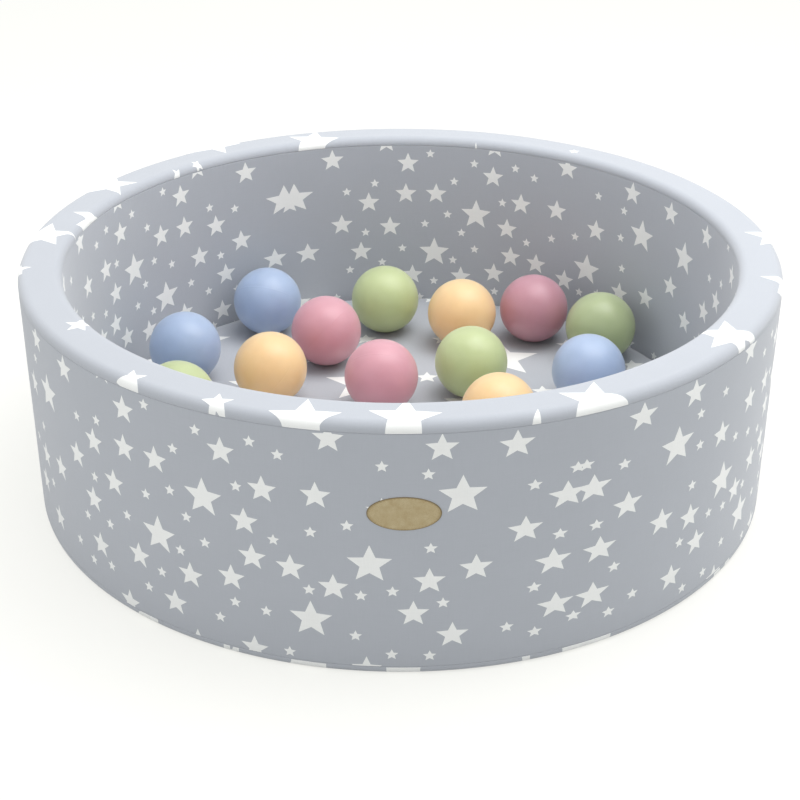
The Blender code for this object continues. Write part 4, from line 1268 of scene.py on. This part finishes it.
# These two balls take the darker tints, which are painted shade.
balls_in_painted_shade = ("ball_pink_right", "ball_green_far_right")
PARTING_HEIGHT = 0.14 * MM
PLUG_RING = 86.2
by_parting = [-3, -1.4, -0.8, -0.4, 0, 0.4, 0.8, 1.4, 3]
by_plug = [81, 83.6, 85, 85.6, PLUG_RING, 86.8, 87.4, 88.6, 90]
latitudes = np.radians(np.concatenate([np.linspace(-90, -6, 20), by_parting, np.linspace(6, 78, 17), by_plug]))
longitudes = np.linspace(0, 2 * np.pi, 65)[:-1]
degrees = np.degrees(latitudes)
parting_line = PARTING_HEIGHT * np.exp(-((degrees / 0.6) ** 2))
ball_relief = parting_line + 0.10 * MM * np.exp(-(((degrees - PLUG_RING) / 0.5) ** 2))
rng = np.random.default_rng(41)


def ball_points(middle, turn):
    """A sphere by longitude and latitude, raised by the parting line and the plug's ring, then turned."""
    radius = BALL_RADIUS - PARTING_HEIGHT + ball_relief
    east = np.cos(latitudes) * radius
    level = np.broadcast_to(np.sin(latitudes) * radius, (len(longitudes), len(latitudes)))
    points = [east * np.cos(longitudes)[:, None], east * np.sin(longitudes)[:, None], level]
    return np.stack(points, axis=-1) @ turn.T + middle


def turning(roll, pitch, yaw):
    """A rotation from three angles about x, y and z."""
    yaw_and_pitch = Matrix.Rotation(yaw, 3, "Z") @ Matrix.Rotation(pitch, 3, "Y")
    return np.array(yaw_and_pitch @ Matrix.Rotation(roll, 3, "X"))


def matt_plastic(name, tint):
    """Blown polyethylene: an even tint with faint clouding, a fine orange-peel skin and soft shine."""
    material, nodes, shader = new_material(
        name, Roughness=0.5, Specular_IOR_Level=0.45, Subsurface_Weight=1.0, Subsurface_Scale=0.15,
        Subsurface_Radius=(1.0, 0.95, 0.9), Coat_Weight=0.3, Coat_Roughness=0.22,
    )  # fmt: skip
    place = nodes.place()
    clouds = nodes.noise(place, 32.0, 3.0)
    peel = nodes.noise(place, 420.0)
    dim = tuple(0.94 * part for part in tint[:3]) + (1.0,)
    drive(nodes, shader, Base_Color=nodes.mix(nodes.ramp(clouds, (0.35, 0.0), (0.65, 1.0)), dim, tint))
    drive(nodes, shader, Roughness=nodes.ramp(clouds, (0.3, 0.44), (0.7, 0.56)))
    rise = nodes.bump(peel, 0.08 * MM, 0.25)
    drive(nodes, shader, Normal=rise)
    return material


plastics = {name: matt_plastic(f"{name}_polyethylene", tint) for name, tint in ball_tints.items()}
for node in sorted(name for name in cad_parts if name.startswith("ball_")):
    low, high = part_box(node)
    middle = np.array((low + high) / 2)
    turn = turning(*rng.uniform((-0.9, -0.9, 0), (0.9, 0.9, 2 * np.pi)))
    ball = grid_piece(
        f"{node[5:]}_ball", ball_points(middle, turn), np.linspace(0, 1, len(longitudes) + 1), degrees / 180,
        ring_rows=True,
    )  # fmt: skip
    weld(ball)
    tint = node.split("_")[1]
    # Painted shade: the two balls at the rear right take the darker copy of their tint.
    ball.data.materials.append(plastics[f"deep_{tint}" if node in balls_in_painted_shade else tint])
    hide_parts(node)
    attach(ball, node)


# Floor, light and camera
# A pale floor under a white surround, broad lamps overhead and at the right, a smaller weak one at the left, and
# the photograph's view: the camera stands in front at a height of about a metre and looks down on the pit.

WHITE = colour(252, 252, 247)
FLOOR_HALF = 9
FLOOR_LEVEL = -0.4 * MM
FLOOR_GLOW = 0.72
CAMERA_PLACE = (-0.0005, -1.7526, 1.0077)
CAMERA_TILT = 0.48539
CAMERA_LENS = 70.58


def seen_directly(nodes):
    """1 for rays from the camera, straight or by a mirror or through a clear piece, and 0 for all other rays."""
    rays = nodes.add("ShaderNodeLightPath").outputs
    straight = nodes.math("MAXIMUM", rays["Is Camera Ray"], rays["Is Glossy Ray"])
    return nodes.math("MAXIMUM", straight, rays["Is Transmission Ray"])


floor_mesh = bpy.data.meshes.new("studio_floor")
signs = ((-1, -1), (1, -1), (1, 1), (-1, 1))
floor_corners = [(x * FLOOR_HALF, y * FLOOR_HALF, FLOOR_LEVEL) for x, y in signs]
floor_mesh.from_pydata(floor_corners, [], [(0, 1, 2, 3)])
floor = linked("studio_floor", floor_mesh)
floor_paint, nodes, shader = new_material(
    "pale_floor", Roughness=0.9, Specular_IOR_Level=0.0, Emission_Color=WHITE
)
seen = seen_directly(nodes)
drive(nodes, shader, Emission_Strength=nodes.math("MULTIPLY", seen, FLOOR_GLOW))
drive(nodes, shader, Base_Color=nodes.mix(seen, colour(206, 206, 204), colour(146, 146, 145)))
floor.data.materials.append(floor_paint)

world = bpy.data.worlds.new("studio")
bpy.context.scene.world = world
world.use_nodes = True
nodes = Nodes(world.node_tree)
background = world.node_tree.nodes["Background"]
surround = nodes.mix(seen_directly(nodes), (0.845, 0.855, 0.86, 1), WHITE)
nodes.tree.links.new(surround, background.inputs["Color"])
background.inputs["Strength"].default_value = 1.0


def lamp(name, place, aim, size, power):
    """A soft square lamp at a place, turned to its aim."""
    light = bpy.data.lights.new(name, "AREA")
    light.shape = "SQUARE"
    light.size = size
    light.energy = power
    holder = linked(name, light)
    holder.location = place
    holder.rotation_euler = (Vector(aim) - Vector(place)).to_track_quat("-Z", "Y").to_euler()
    return holder


lamp("overhead_lamp", (0.3, 0.2, 2.4), (0, 0, 0.1), 1.6, 25)
lamp("right_lamp", (1.1, 0.2, 2.1), (0, 0, 0.1), 1.6, 20)
lamp("left_lamp", (-2.3, -1.0, 0.9), (0, 0, 0.1), 1.4, 5.5)

camera_data = bpy.data.cameras.new("camera")
camera_data.sensor_width = 36.0
camera_data.lens = CAMERA_LENS
camera = linked("camera", camera_data)
camera.location = CAMERA_PLACE
camera.rotation_euler = (np.pi / 2 - CAMERA_TILT, 0, 0)
bpy.context.scene.camera = camera
bpy.context.scene.view_settings.view_transform = "Standard"
